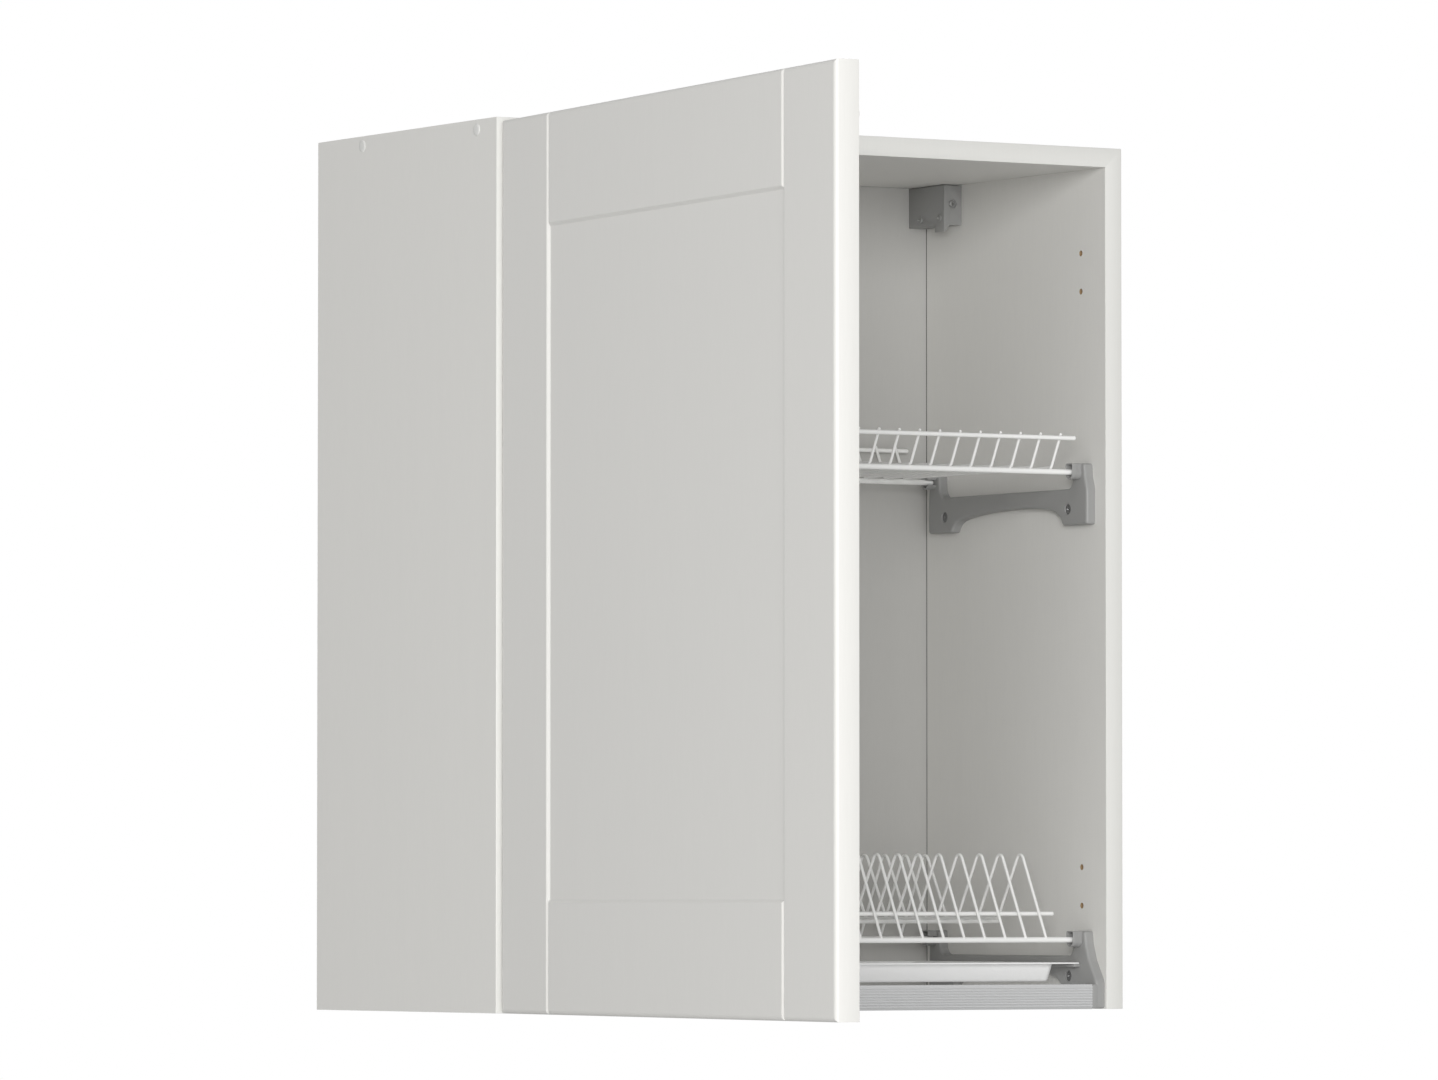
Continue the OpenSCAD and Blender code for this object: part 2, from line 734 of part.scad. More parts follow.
module hinge_arm_screws() {
    color(dark_steel_color) in_cabinet() for (z = hinge_z, y = arm_screw_y)
        translate([-inner_x, y, z]) {
            translate([arm_screw_start, 0, 0])
                rod_x(arm_top - arm_screw_start, arm_screw_r - fit_gap / 2);
            translate([arm_top, 0, 0]) difference() {
                rod_x(arm_screw_head_t, arm_screw_head_r);
                translate([arm_screw_head_t, 0, 0]) cross_slots();
            }
        }
}

module hinge_arm_pins() {
    link_out = link_in + link_t + pin_head;
    color(dark_steel_color) in_cabinet() for (z = hinge_z) {
        translate([arm_pin[0], arm_pin[1], z - link_out]) cylinder(h = 2 * link_out, r = arm_pin_r);
        translate([second_pin[0], second_pin[1], z - ear_in - ear_t])
            cylinder(h = 2 * (ear_in + ear_t), r = arm_pin_r);
    }
}

// Bent strip with an eye at each end, from the arm pin to the cup pin
module outer_link_outline() {
    difference() {
        union() {
            circle(r = link_eye_r);
            translate([link_l, 0]) circle(r = cup_eye_r);
            polygon([
                [0, -link_half_w], [link_l / 2, link_bow - link_half_w], [link_l, -link_half_w],
                [link_l, link_half_w], [link_l / 2, link_bow + link_half_w], [0, link_half_w]
            ]);
        }
        circle(r = arm_pin_r + pin_clearance);
        translate([link_l, 0]) circle(r = cup_pin_r + pin_clearance);
    }
}

module hinge_outer_links() {
    color(steel_color) in_cabinet() for (z = hinge_z, side = [0, 1])
        translate([arm_pin[0], arm_pin[1], z]) mirror([0, 0, side]) translate([0, 0, link_in])
            rotate([0, 0, link_angle]) linear_extrude(link_t) outer_link_outline();
}

module hinge_inner_links() {
    color(steel_color) in_cabinet() for (z = hinge_z)
        translate([second_pin[0], second_pin[1], z - inner_link_half])
            rotate([0, 0, inner_link_angle]) linear_extrude(2 * inner_link_half) difference() {
                union() {
                    circle(r = inner_eye_r);
                    translate([0, -inner_link_r]) square([inner_link_l, 2 * inner_link_r]);
                    translate([inner_link_l, 0]) circle(r = inner_link_r);
                }
                circle(r = arm_pin_r + pin_clearance);
            }
}

// Outline of a bracket plate as [depth, height above the wire]; the front foot varies
module bracket_outline(foot_y, foot_z) {
    head_end = head_front_y + head_w;
    rear_head = bracket_rear_y - rear_head_w;
    foot_end = foot_front_y + foot_w;
    rear_foot = bracket_rear_y - rear_foot_w;
    polygon([
        [head_front_y, head_top], [head_front_y + head_step[0], arm_edge - head_step[1]],
        [foot_front_y, arm_edge], [foot_y, foot_low + foot_rise], [foot_y, foot_z],
        [foot_end, foot_z], [foot_end, foot_low],
        [foot_end + arch_step_y, arch_top - arch_low[0]], [foot_end + arch_flat_y[0], arch_top],
        [rear_foot - arch_flat_y[1], arch_top],
        [rear_foot - arch_step_y, arch_top - arch_low[1]], [rear_foot, foot_low],
        [bracket_rear_y, foot_low], [bracket_rear_y, head_top], [rear_head, head_top],
        [rear_head, arm_edge], [head_end, arm_edge], [head_end, head_top]
    ]);
    for (side = [0, 1]) translate([side == 0 ? head_end : rear_head, arm_edge])
        mirror([side, 0]) difference() {
            square(head_fillet);
            translate([head_fillet, head_fillet]) circle(r = head_fillet);
        }
}

// Right bracket; heights count from the axis of the support wires
module bracket(foot_y, foot_z) {
    difference() {
        union() {
            translate([bracket_in, 0, 0]) upright(bracket_t) bracket_outline(foot_y, foot_z);
            for (y = [front_wire_y, rear_wire_y]) socket_block(y);
        }
        for (y = bracket_screw_y) translate([bracket_in, y, -bracket_screw_drop]) {
            translate([-1, 0, 0]) rod_x(bracket_t + 2, bracket_screw_r + fit_gap);
            translate([-slit, 0, 0]) rotate([0, 90, 0]) cylinder(
                h = countersink_t + slit, r1 = bracket_screw_head_r + fit_gap,
                r2 = bracket_screw_r + fit_gap
            );
        }
    }
}

// Solid along the wire with a rounded underside, smaller all round by inset
module socket_solid(length, inset) {
    low = socket_bowl_z;
    translate([0, inset - socket_w / 2, low])
        cube([length, socket_w - 2 * inset, head_top - inset - low]);
    translate([0, 0, low]) rod_x(length, socket_w / 2 - inset);
}

// Hollow socket around its wire, with a hub at its end, open towards the middle of the bracket
module socket_block(y) {
    inwards = y < (front_wire_y + rear_wire_y) / 2 ? 0 : 1;
    translate([bracket_in - socket_l, y, 0]) mirror([0, inwards, 0]) difference() {
        socket_solid(socket_l, 0);
        translate([-1, 0, 0]) socket_solid(socket_l - socket_hub_t + 1, socket_wall);
        translate([-1, 0, 0]) rod_x(socket_l + 2, support_r + socket_clearance);
        translate([-1, 0, -support_r + socket_slot / 2])
            cube([socket_l + 2, socket_w, 2 * support_r - socket_slot]);
    }
}

module upper_bracket() {
    translate([0, 0, cup_wire_z]) bracket(foot_front_y, foot_low);
}

module lower_bracket() {
    lug_h = profile_h - 2 * profile_t - 2 * lug_clearance;
    lug_y = profile_y + profile_t + lug_clearance;
    translate([0, 0, plate_wire_z]) bracket(lower_foot_y, lower_foot_z - plate_wire_z);
    translate([bracket_in - ledge_w, ledge_y[0], ledge_z])
        cube([ledge_w + slit, ledge_y[1] - ledge_y[0], ledge_t]);
    translate([bracket_in - foot_pad_t, lower_foot_y, lower_foot_z])
        cube([foot_pad_t + slit, profile_y + profile_d - lower_foot_y, profile_h - lower_foot_z]);
    difference() {
        translate([bracket_in - lug_l, lug_y, profile_t + lug_clearance])
            cube([lug_l + slit, profile_d - profile_t - lug_clearance, lug_h]);
        translate([profile_screw_x, profile_y + profile_d / 2, 0])
            cylinder(h = profile_screw_l + 1, r = profile_screw_r);
    }
}

module upper_left_bracket() {
    color(plastic_color) in_cabinet() mirror([1, 0, 0]) upper_bracket();
}

module upper_right_bracket() {
    color(plastic_color) in_cabinet() upper_bracket();
}

module lower_left_bracket() {
    color("#a8a9aa") in_cabinet() mirror([1, 0, 0]) lower_bracket();
}

module lower_right_bracket() {
    color("#a8a9aa") in_cabinet() lower_bracket();
}

module bracket_screws() {
    color(steel_color) in_cabinet() on_both_sides()
        for (y = bracket_screw_y, z = [cup_wire_z, plate_wire_z])
            translate([bracket_in, y, z - bracket_screw_drop]) difference() {
                union() {
                    rod_x(bracket_screw_l, bracket_screw_r);
                    rotate([0, 90, 0])
                        cylinder(h = countersink_t, r1 = bracket_screw_head_r, r2 = bracket_screw_r);
                }
                cross_slots();
            }
}

// A row of places along the rack's width
function row_x(i, count, span) = (i / (count - 1) - 0.5) * span;

module cup_rack_floor() {
    color(wire_color) in_cabinet() {
        for (y = [front_wire_y, rear_wire_y])
            translate([-wire_end, y, cup_wire_z]) rod_x(2 * wire_end, support_r);
        for (i = [0:cross_wire_count - 1])
            translate([row_x(i, cross_wire_count, cross_wire_span), front_wire_y, cross_z])
                rotate([-90, 0, 0]) cylinder(h = wire_spread, r = cross_wire_r);
    }
}

module cup_fence() {
    for (i = [0:cross_wire_count - 1])
        translate([row_x(i, cross_wire_count, cross_wire_span), 0, 0]) rotate([90, 0, 90])
            bent_wire(
                [
                    [front_wire_y, cross_z], [fence_bend_y, cross_z],
                    [fence_bend_y - fence_run, cross_z + fence_h]
                ],
                cross_wire_r, fence_bend_r
            );
    translate([-rim_wire_half, fence_rim[0], fence_rim[1]]) rod_x(2 * rim_wire_half, long_wire_r);
}

module cup_rack_front_fence() {
    color(wire_color) in_cabinet() cup_fence();
}

module cup_rack_rear_fence() {
    color(wire_color) in_cabinet() translate([0, front_wire_y + rear_wire_y, 0]) mirror([0, 1, 0])
        cup_fence();
}

module plate_rack_rails() {
    color(wire_color) in_cabinet() translate([0, 0, plate_wire_z]) {
        for (y = [front_wire_y, rear_wire_y])
            translate([-wire_end, y, 0]) rod_x(2 * wire_end, support_r);
        for (place = [front_leg_wire, rear_leg_wire])
            translate([-long_wire_half, place[0], place[1]]) rod_x(2 * long_wire_half, long_wire_r);
        for (y = valley_wire_y)
            translate([-long_wire_half, y, valley - wire_step]) rod_x(2 * long_wire_half, long_wire_r);
    }
}

module plate_rack_dividers() {
    color(wire_color) in_cabinet() for (i = [0:divider_count - 1])
        translate([row_x(i, divider_count, divider_span), 0, plate_wire_z]) rotate([90, 0, 90])
            bent_wire(divider_path, divider_r, wire_bend_r);
}

// Block with sloping sides that fills the tray's basin, smaller by inset, down to a height
module tray_basin(inset, floor_z, open_z) {
    half = rim_half - tray_rim_w - inset;
    front = tray_y[0] + tray_lip + inset;
    rear = tray_y[1] - tray_lip - inset;
    hull() {
        translate([-half, front, open_z]) cube([2 * half, rear - front, slit]);
        translate([tray_draft - half, front + tray_draft, floor_z])
            cube([2 * (half - tray_draft), rear - front - 2 * tray_draft, slit]);
    }
}

module drip_tray() {
    rim_low = rim_z - tray_t;
    color("#e6e6e4") in_cabinet() difference() {
        union() {
            translate([-rim_half, tray_y[0], rim_low])
                cube([2 * rim_half, tray_y[1] - tray_y[0], tray_t]);
            tray_basin(0, rim_z - tray_h, rim_low);
        }
        tray_basin(tray_t, rim_z - tray_h + tray_t, rim_z + slit);
    }
}

// Hollow section of the front profile as [depth, height]
module profile_outline() {
    difference() {
        square([profile_d, profile_h]);
        translate([profile_t, profile_t]) square([profile_d, profile_h - 2 * profile_t]);
    }
    for (i = [0:rib_count - 1])
        translate([-rib_t, rib_margin + (i + 0.25) * rib_pitch])
            square([rib_t + slit, rib_pitch / 2]);
}

module front_profile() {
    color("#c4c6c8") in_cabinet() difference() {
        translate([-profile_half, profile_y, 0]) upright(2 * profile_half) profile_outline();
        on_both_sides() translate([profile_screw_x, profile_y + profile_d / 2, 0]) {
            translate([0, 0, -1]) cylinder(h = profile_t + 2, r = profile_screw_r);
            translate([0, 0, -slit]) cylinder(
                h = profile_screw_head_t + slit, r1 = profile_screw_head_r + fit_gap, r2 = profile_screw_r
            );
        }
    }
}

module profile_screws() {
    color(steel_color) in_cabinet() on_both_sides()
        translate([profile_screw_x, profile_y + profile_d / 2, 0]) {
            cylinder(h = profile_screw_l, r = profile_screw_r - fit_gap);
            cylinder(
                h = profile_screw_head_t, r1 = profile_screw_head_r, r2 = profile_screw_r - fit_gap
            );
        }
}

module hanger_housing() {
    cavity_h = hook_h + 2 * hook_clearance;
    difference() {
        union() {
            translate([hanger_in, hanger_y, hanger_low])
                cube([hanger_w, hanger_d, hanger_h - hanger_top_gap]);
            translate([hanger_in, hanger_y, hanger_low]) rotate([-90, 0, 0]) linear_extrude(bump_y)
                polygon([[0, -slit], [0, bump_h], [bump_x, bump_h], [bump_end, -slit]]);
        }
        translate([hook_x - hook_clearance, hook_start_y - hook_travel, hook_z - cavity_h / 2])
            cube([hook_t + 2 * hook_clearance, hanger_d, cavity_h]);
        for (y = hanger_screw_y) translate([hanger_in - 1, y, hanger_screw_z])
            rod_x(hanger_w + 2, hanger_screw_r + fit_gap);
        translate([hook_x + hook_t / 2, hanger_y - 1, hook_z]) rotate([-90, 0, 0])
            cylinder(h = hook_start_y - hanger_y, r = adjuster_r);
        translate([hook_x + hook_t / 2, hanger_y - 1, hook_z]) rotate([-90, 0, 0])
            cylinder(h = adjuster_well_d + 1, r = adjuster_well_r);
    }
}

module left_hanger_housing() {
    color(plastic_color) in_cabinet() mirror([1, 0, 0]) hanger_housing();
}

module right_hanger_housing() {
    color(plastic_color) in_cabinet() hanger_housing();
}

// Steel hook: an arm through the back panel with a tip that points down behind it
module hanger_hook() {
    arm_l = hook_tip_y - hook_start_y;
    translate([hook_x, hook_start_y, hook_z - hook_h / 2]) cube([hook_t, arm_l, hook_h]);
    translate([hook_x, hook_tip_y - hook_tip_t, hook_z - hook_h / 2 - hook_tip_h])
        cube([hook_t, hook_tip_t, hook_tip_h + slit]);
}

module left_hanger_hook() {
    color(steel_color) in_cabinet() mirror([1, 0, 0]) hanger_hook();
}

module right_hanger_hook() {
    color(steel_color) in_cabinet() hanger_hook();
}

module hanger_screws() {
    color(steel_color) in_cabinet() on_both_sides() for (y = hanger_screw_y)
        translate([hanger_in - hanger_head_t, y, hanger_screw_z]) {
            rod_x(hanger_head_t, hanger_screw_head_r);
            rod_x(hanger_screw_l + hanger_head_t, hanger_screw_r);
        }
}

module hanger_adjusters() {
    seat_y = hanger_y + adjuster_well_d;
    shank_l = hook_start_y - hook_travel - seat_y - fit_gap;
    color(dark_steel_color) in_cabinet() on_both_sides()
        translate([hook_x + hook_t / 2, seat_y, hook_z]) rotate([-90, 0, 0]) {
            cylinder(h = shank_l, r = adjuster_r - fit_gap);
            translate([0, 0, -adjuster_head_t]) difference() {
                cylinder(h = adjuster_head_t, r = adjuster_head_r);
                for (turn = [0, 90]) rotate([0, 0, turn])
                    translate([-adjuster_slot_half, -adjuster_slot_w / 2, adjuster_slot_d - 1])
                        cube([2 * adjuster_slot_half, adjuster_slot_w, 1]);
            }
        }
}

left_side_panel();
right_side_panel();
top_panel();
back_panel();
front_edge_bands();
corner_dowels();
corner_screws();
screw_caps();
door_front();
door_bumpers();
hinge_cups();
hinge_cup_screws();
hinge_cup_pins();
hinge_plates();
hinge_plate_screws();
hinge_arms();
hinge_arm_screws();
hinge_arm_pins();
hinge_outer_links();
hinge_inner_links();
upper_left_bracket();
upper_right_bracket();
lower_left_bracket();
lower_right_bracket();
bracket_screws();
cup_rack_floor();
cup_rack_front_fence();
cup_rack_rear_fence();
plate_rack_rails();
plate_rack_dividers();
drip_tray();
front_profile();
profile_screws();
left_hanger_housing();
right_hanger_housing();
left_hanger_hook();
right_hanger_hook();
hanger_screws();
hanger_adjusters();
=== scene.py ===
import json
import math

import bmesh
import bpy
from mathutils import Matrix, Vector
from mathutils.geometry import interpolate_bezier


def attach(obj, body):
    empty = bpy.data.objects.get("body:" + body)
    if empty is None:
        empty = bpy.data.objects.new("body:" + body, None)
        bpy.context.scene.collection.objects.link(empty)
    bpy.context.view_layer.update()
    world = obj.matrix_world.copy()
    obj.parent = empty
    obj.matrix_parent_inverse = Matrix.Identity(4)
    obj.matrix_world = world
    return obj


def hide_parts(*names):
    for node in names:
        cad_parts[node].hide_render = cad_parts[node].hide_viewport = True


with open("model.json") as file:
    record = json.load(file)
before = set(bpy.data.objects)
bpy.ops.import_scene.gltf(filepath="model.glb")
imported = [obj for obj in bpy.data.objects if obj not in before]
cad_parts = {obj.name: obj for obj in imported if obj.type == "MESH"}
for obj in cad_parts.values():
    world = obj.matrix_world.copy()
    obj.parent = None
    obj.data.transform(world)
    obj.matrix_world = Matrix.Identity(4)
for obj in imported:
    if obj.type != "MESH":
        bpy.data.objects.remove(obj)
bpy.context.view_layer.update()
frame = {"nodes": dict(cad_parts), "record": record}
slotOf = {entry["node"]: entry["material_slot"] for entry in frame["record"]["subparts"]}
bodyOf = {}
for bodyName, members in frame["record"]["behaviour"]["bodies"].items():
    bodyOf.update(dict.fromkeys(members, bodyName))

# Sizes are millimetres, counted from the cabinet's bottom and front edges, with x from its middle
mm = 0.001
cabinet = {"width": 600, "height": 715, "depth": 295, "board": 16}
insideX = cabinet["width"] / 2 - cabinet["board"]
insideTop = cabinet["height"] - cabinet["board"]


def place(x, y, z):
    lift = cabinet["height"] - cabinet["board"] / 2
    return Vector((x * mm, (y - cabinet["depth"]) * mm, (z - lift) * mm))


# Node graphs

class Value:
    def __init__(self, graph, socket):
        self.graph = graph
        self.socket = socket

    def join(self, operation, first, second):
        return self.graph.value("ShaderNodeMath", {0: first, 1: second}, {"operation": operation})

    def __add__(self, other):
        return self.join("ADD", self, other)

    def __radd__(self, other):
        return self.join("ADD", other, self)

    def __sub__(self, other):
        return self.join("SUBTRACT", self, other)

    def __mul__(self, other):
        return self.join("MULTIPLY", self, other)

    def __truediv__(self, other):
        return self.join("DIVIDE", self, other)

    def high(self, other):
        return self.join("MAXIMUM", self, other)

    def clamped(self):
        return self.join("MINIMUM", self.high(0.0), 1.0)


class Graph:
    def __init__(self, tree):
        self.tree = tree

    def add(self, kind, inputs=None, settings=None):
        node = self.tree.nodes.new(kind)
        for name, setting in (settings or {}).items():
            setattr(node, name, setting)
        for key, given in (inputs or {}).items():
            if isinstance(given, Value):
                self.tree.links.new(given.socket, node.inputs[key])
            else:
                node.inputs[key].default_value = given
        return node

    def value(self, kind, inputs=None, settings=None, output=0):
        return Value(self, self.add(kind, inputs, settings).outputs[output])


def emptied(holder):
    holder.use_nodes = True
    holder.node_tree.nodes.clear()
    return Graph(holder.node_tree)


# Finishes. A fine noise draws the grain, skin or lines and a coarse one the clouds; fineShare
# says how much of the shade the fine one gives, and the edge tone how bright the painted highlight
# along convex edges is

common = {
    "metal": 0.0, "edge": 0.0, "coat": 0.0, "coatRough": 0.1, "fineDetail": 2.0,
    "cloudDetail": 3.0, "start": 0.0, "gain": 1.0, "relief": 0.5,
}
kinds = {
    "board": {
        "specular": 0.35, "edgeHighlightTone": 1.12, "fine": (900, 900, 55), "clouds": (60, 60, 5),
        "fineDetail": 3.0, "cloudDetail": 2.0, "fineShare": 0.7, "start": 0.3, "gain": 2.2,
        "fineRough": 0.16, "cloudRough": 0.08, "relief": 0.6, "depth": 0.00004,
    },
    "plastic": {
        "coatRough": 0.25, "specular": 0.4, "edgeHighlightTone": 1.3, "fine": 2500, "clouds": 35,
        "fineShare": 0.0, "fineRough": 0.12, "cloudRough": 0.1, "depth": 0.00002,
    },
    "metal": {
        "specular": 0.5, "edgeHighlightTone": 1.2, "fine": 700, "clouds": 60,
        "fineShare": 1.0, "fineRough": 0.2, "cloudRough": 0.12, "depth": 0.00001,
    },
}
# Where the painted highlight on convex edges starts on the pointiness scale, and how fast it rises
edgeHighlightRamp = {"start": 0.515, "gain": 14.0}


def noise(graph, scale, detail):
    scale = scale if isinstance(scale, tuple) else (scale,) * 3
    spot = graph.value("ShaderNodeTexCoord", output="Object")
    drawn = graph.value("ShaderNodeMapping", {"Vector": spot, "Scale": scale})
    return graph.value("ShaderNodeTexNoise", {
        "Vector": drawn, "Scale": 1.0, "Detail": detail, "Roughness": 0.55,
    })


def blend(graph, mask, first, second):
    return graph.value("ShaderNodeMix", {0: mask, 6: first, 7: second}, {"data_type": "RGBA"}, 2)


def tone(colour, factor):
    return tuple(channel * factor for channel in colour) + (1.0,)


def makeFinish(kind, name, colour, spread, rough, **more):
    look = {**common, **kinds[kind], **more}
    material = bpy.data.materials.new(name)
    graph = emptied(material)
    grain = noise(graph, look["fine"], look["fineDetail"])
    clouds = noise(graph, look["clouds"], look["cloudDetail"])
    mix = grain * look["fineShare"] + clouds * (1 - look["fineShare"])
    mask = ((mix - look["start"]) * look["gain"]).clamped()
    shade = blend(graph, mask, tone(colour, 1 - spread), tone(colour, 1 + spread))
    # Painted highlight: convex edges, found by pointiness, are lightened towards the edge tone by
    # the finish's edge share
    point = graph.value("ShaderNodeNewGeometry", output="Pointiness")
    edgeHighlight = ((point - edgeHighlightRamp["start"]) * edgeHighlightRamp["gain"]).clamped() * look["edge"]
    fineRough, cloudRough = (grain - 0.5) * look["fineRough"], (clouds - 0.5) * look["cloudRough"]
    shader = graph.value("ShaderNodeBsdfPrincipled", {
        "Base Color": blend(graph, edgeHighlight, shade, tone(colour, look["edgeHighlightTone"])),
        "Roughness": rough + fineRough + cloudRough,
        "Normal": graph.value("ShaderNodeBump", {
            "Height": grain, "Distance": look["depth"], "Strength": look["relief"],
        }),
        "Metallic": look["metal"], "Coat Weight": look["coat"],
        "Coat Roughness": look["coatRough"], "Specular IOR Level": look["specular"],
    })
    graph.add("ShaderNodeOutputMaterial", {"Surface": shader})
    return material


# edge is each finish's share of the painted highlight along convex edges
finishes = {
    "board": makeFinish("board", "greyBoard", (0.695, 0.688, 0.662), spread=0.018, rough=0.5),
    "back_board": makeFinish(
        "board", "greyBackPanel", (0.485, 0.48, 0.462), spread=0.02, rough=0.55,
        specular=0.3, depth=0.00003),
    "edge_band": makeFinish(
        "board", "greyEdgeBand", (0.70, 0.697, 0.67), spread=0.012, rough=0.42,
        specular=0.4, edge=0.2, fine=(900, 900, 70), clouds=(50, 50, 8), depth=0.00002),
    "dowel_wood": makeFinish(
        "board", "beech", (0.58, 0.40, 0.22), spread=0.12, rough=0.6,
        specular=0.3, fine=(90, 1200, 1200), clouds=(12, 200, 200), depth=0.00005),
    "door_lacquer": makeFinish(
        "board", "doorFoil", (0.70, 0.693, 0.668), spread=0.016, rough=0.45,
        specular=0.4, edge=0.15, fine=(800, 800, 45), clouds=(50, 50, 4)),
    "bumper": makeFinish(
        "plastic", "softBumper", (0.8, 0.8, 0.78), spread=0.03, rough=0.35,
        specular=0.5, coat=0.1),
    "cap_plastic": makeFinish(
        "plastic", "capPlastic", (0.66, 0.66, 0.64), spread=0.02, rough=0.4, edge=0.1),
    "plated_steel": makeFinish(
        "metal", "platedSteel", (0.62, 0.62, 0.615), spread=0.08, rough=0.3,
        metal=0.95, edge=0.3),
    "screw_steel": makeFinish(
        "metal", "darkScrewSteel", (0.2, 0.2, 0.2), spread=0.1, rough=0.42,
        metal=0.6, edge=0.4),
    "pin_steel": makeFinish(
        "metal", "brightSteel", (0.5, 0.5, 0.505), spread=0.06, rough=0.25,
        metal=1.0, edge=0.2, fine=(900, 900, 120)),
    "grey_plastic": makeFinish(
        "plastic", "greyPlastic", (0.30, 0.30, 0.295), spread=0.035, rough=0.45,
        edge=0.15, fine=2200, depth=0.00003),
    "coated_wire": makeFinish(
        "plastic", "whiteCoating", (0.87, 0.87, 0.855), spread=0.015, rough=0.3,
        specular=0.5, coat=0.25, fine=900),
    "tray_plastic": makeFinish(
        "plastic", "whiteTray", (0.9, 0.9, 0.895), spread=0.012, rough=0.36,
        specular=0.45, edge=0.1, coat=0.1, fine=1500),
    "aluminium_profile": makeFinish(
        "metal", "satinProfile", (0.585, 0.588, 0.59), spread=0.012, rough=0.42,
        metal=0.55, edge=0.25, fine=(3, 400, 400), depth=0.000002),
    "chipboard": makeFinish(
        "board", "drilledBoard", (0.36, 0.25, 0.14), spread=0.3, rough=0.85,
        specular=0.2, fine=1500, clouds=300, depth=0.0001),
    "dull_steel": makeFinish(
        "metal", "dullSteel", (0.36, 0.36, 0.355), spread=0.08, rough=0.5,
        metal=0.7, edge=0.5),
    # Near-black finish that paints the shadow in the grooves beside the back panel
    "painted_gap_shadow": makeFinish(
        "plastic", "paintedGapShadow", (0.05, 0.05, 0.05), spread=0.1, rough=0.9,
        specular=0.1, fine=900, depth=0.00001),
}
for node, slotName in slotOf.items():
    for holder in frame["nodes"][node].material_slots:
        holder.material = finishes[slotName]
print("finishes made:", len(finishes))


# Making and keeping pieces

# The piece has the first node's body, and stands for all nodes given unless it only adds
def keep(piece, node, *others, adds=False):
    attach(piece, bodyOf[node])
    if not adds:
        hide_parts(node, *others)


def addPiece(name, shape, finish=None):
    mesh = bpy.data.meshes.new(name)
    shape.to_mesh(mesh)
    shape.free()
    if finish:
        mesh.materials.append(finishes[finish])
    piece = bpy.data.objects.new(name, mesh)
    bpy.context.scene.collection.objects.link(piece)
    return piece


def shadeByAngle(piece, degrees):
    piece.data.shade_smooth()
    piece.data.set_sharp_from_angle(angle=math.radians(degrees))
    return piece


# Turns what the modifiers make into the piece's own mesh
def settle(piece):
    graph = bpy.context.evaluated_depsgraph_get()
    made = bpy.data.meshes.new_from_object(piece.evaluated_get(graph))
    piece.modifiers.clear()
    old = piece.data
    piece.data = made
    bpy.data.meshes.remove(old)
    return piece


def soften(piece, width, steps, degrees):
    bevel = piece.modifiers.new("edges", "BEVEL")
    bevel.width = width * mm
    bevel.segments = steps
    bevel.limit_method = "ANGLE"
    bevel.angle_limit = math.radians(degrees)
    bevel.miter_outer = "MITER_ARC"
    return settle(piece)


def cutAway(piece, cutters):
    for cutter in cutters:
        cut = piece.modifiers.new("cut", "BOOLEAN")
        cut.operation = "DIFFERENCE"
        cut.solver = "EXACT"
        cut.object = cutter
    settle(piece)
    for cutter in cutters:
        bpy.data.objects.remove(cutter)
    return piece


# One piece from several, with the first one's material
def joined(name, pieces):
    shape = bmesh.new()
    for piece in pieces:
        shape.from_mesh(piece.data)
    whole = addPiece(name, shape)
    whole.data.materials.append(pieces[0].data.materials[0])
    for piece in pieces:
        bpy.data.objects.remove(piece)
    return whole


# Angles in degrees
softening = {"merge": 0.000002, "flat": 0.6, "steps": 2, "bent": 38, "sharp": 32}


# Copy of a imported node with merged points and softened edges, which then stands for the node
def softCopy(node, width):
    shape = bmesh.new()
    shape.from_mesh(frame["nodes"][node].data)
    bmesh.ops.remove_doubles(shape, verts=shape.verts, dist=softening["merge"])
    flat = math.radians(softening["flat"])
    bmesh.ops.dissolve_limit(shape, angle_limit=flat, verts=shape.verts, edges=shape.edges)
    piece = addPiece(node + "_soft", shape, slotOf[node])
    soften(piece, width, softening["steps"], softening["bent"])
    keep(shadeByAngle(piece, softening["sharp"]), node)


# Ring of points with each corner rounded by its own radius; corners are (a, b, radius)
def roundedRing(corners, steps):
    ring = []
    for index, (a, b, radius) in enumerate(corners):
        here = Vector((a, b))
        before = Vector(corners[index - 1][:2]) - here
        after = Vector(corners[(index + 1) % len(corners)][:2]) - here
        if radius <= 0 or min(before.length, after.length) < 1e-6:
            ring.append((a, b))
            continue
        before.normalize()
        after.normalize()
        half = before.angle(after) / 2
        if half > math.radians(88):
            ring.append((a, b))
            continue
        reach = radius / math.tan(half)
        middle = here + (before + after).normalized() * (radius / math.sin(half))
        first = here + before * reach - middle
        last = here + after * reach - middle
        turn = math.atan2(first.x * last.y - first.y * last.x, first.dot(last))
        for step in range(steps + 1):
            angle = turn * step / steps
            ring.append((
                middle.x + first.x * math.cos(angle) - first.y * math.sin(angle),
                middle.y + first.x * math.sin(angle) + first.y * math.cos(angle),
            ))
    return ring


# Smooth line through points, with a number of steps between each pair
def curved(points, steps):
    line = []
    last = len(points) - 1
    for index in range(last):
        a, b, c, d = (Vector(points[min(max(index + k, 0), last)]) for k in (-1, 0, 1, 2))
        reach = (c - b).length / 3
        leave, arrive = (c - a).normalized() * reach, (d - b).normalized() * reach
        line += interpolate_bezier(b, b + leave, c - arrive, c, steps + 1)[:-1]
    return [(point.x, point.y) for point in line] + [points[-1]]


def circle(sides):
    return [2 * math.pi * k / sides for k in range(sides)]


# Quarter turn from 0 to 90 degrees
def quarter(steps):
    return [math.pi / 2 * step / steps for step in range(steps + 1)]


def faceOutwards(shape):
    bmesh.ops.recalc_face_normals(shape, faces=shape.faces)


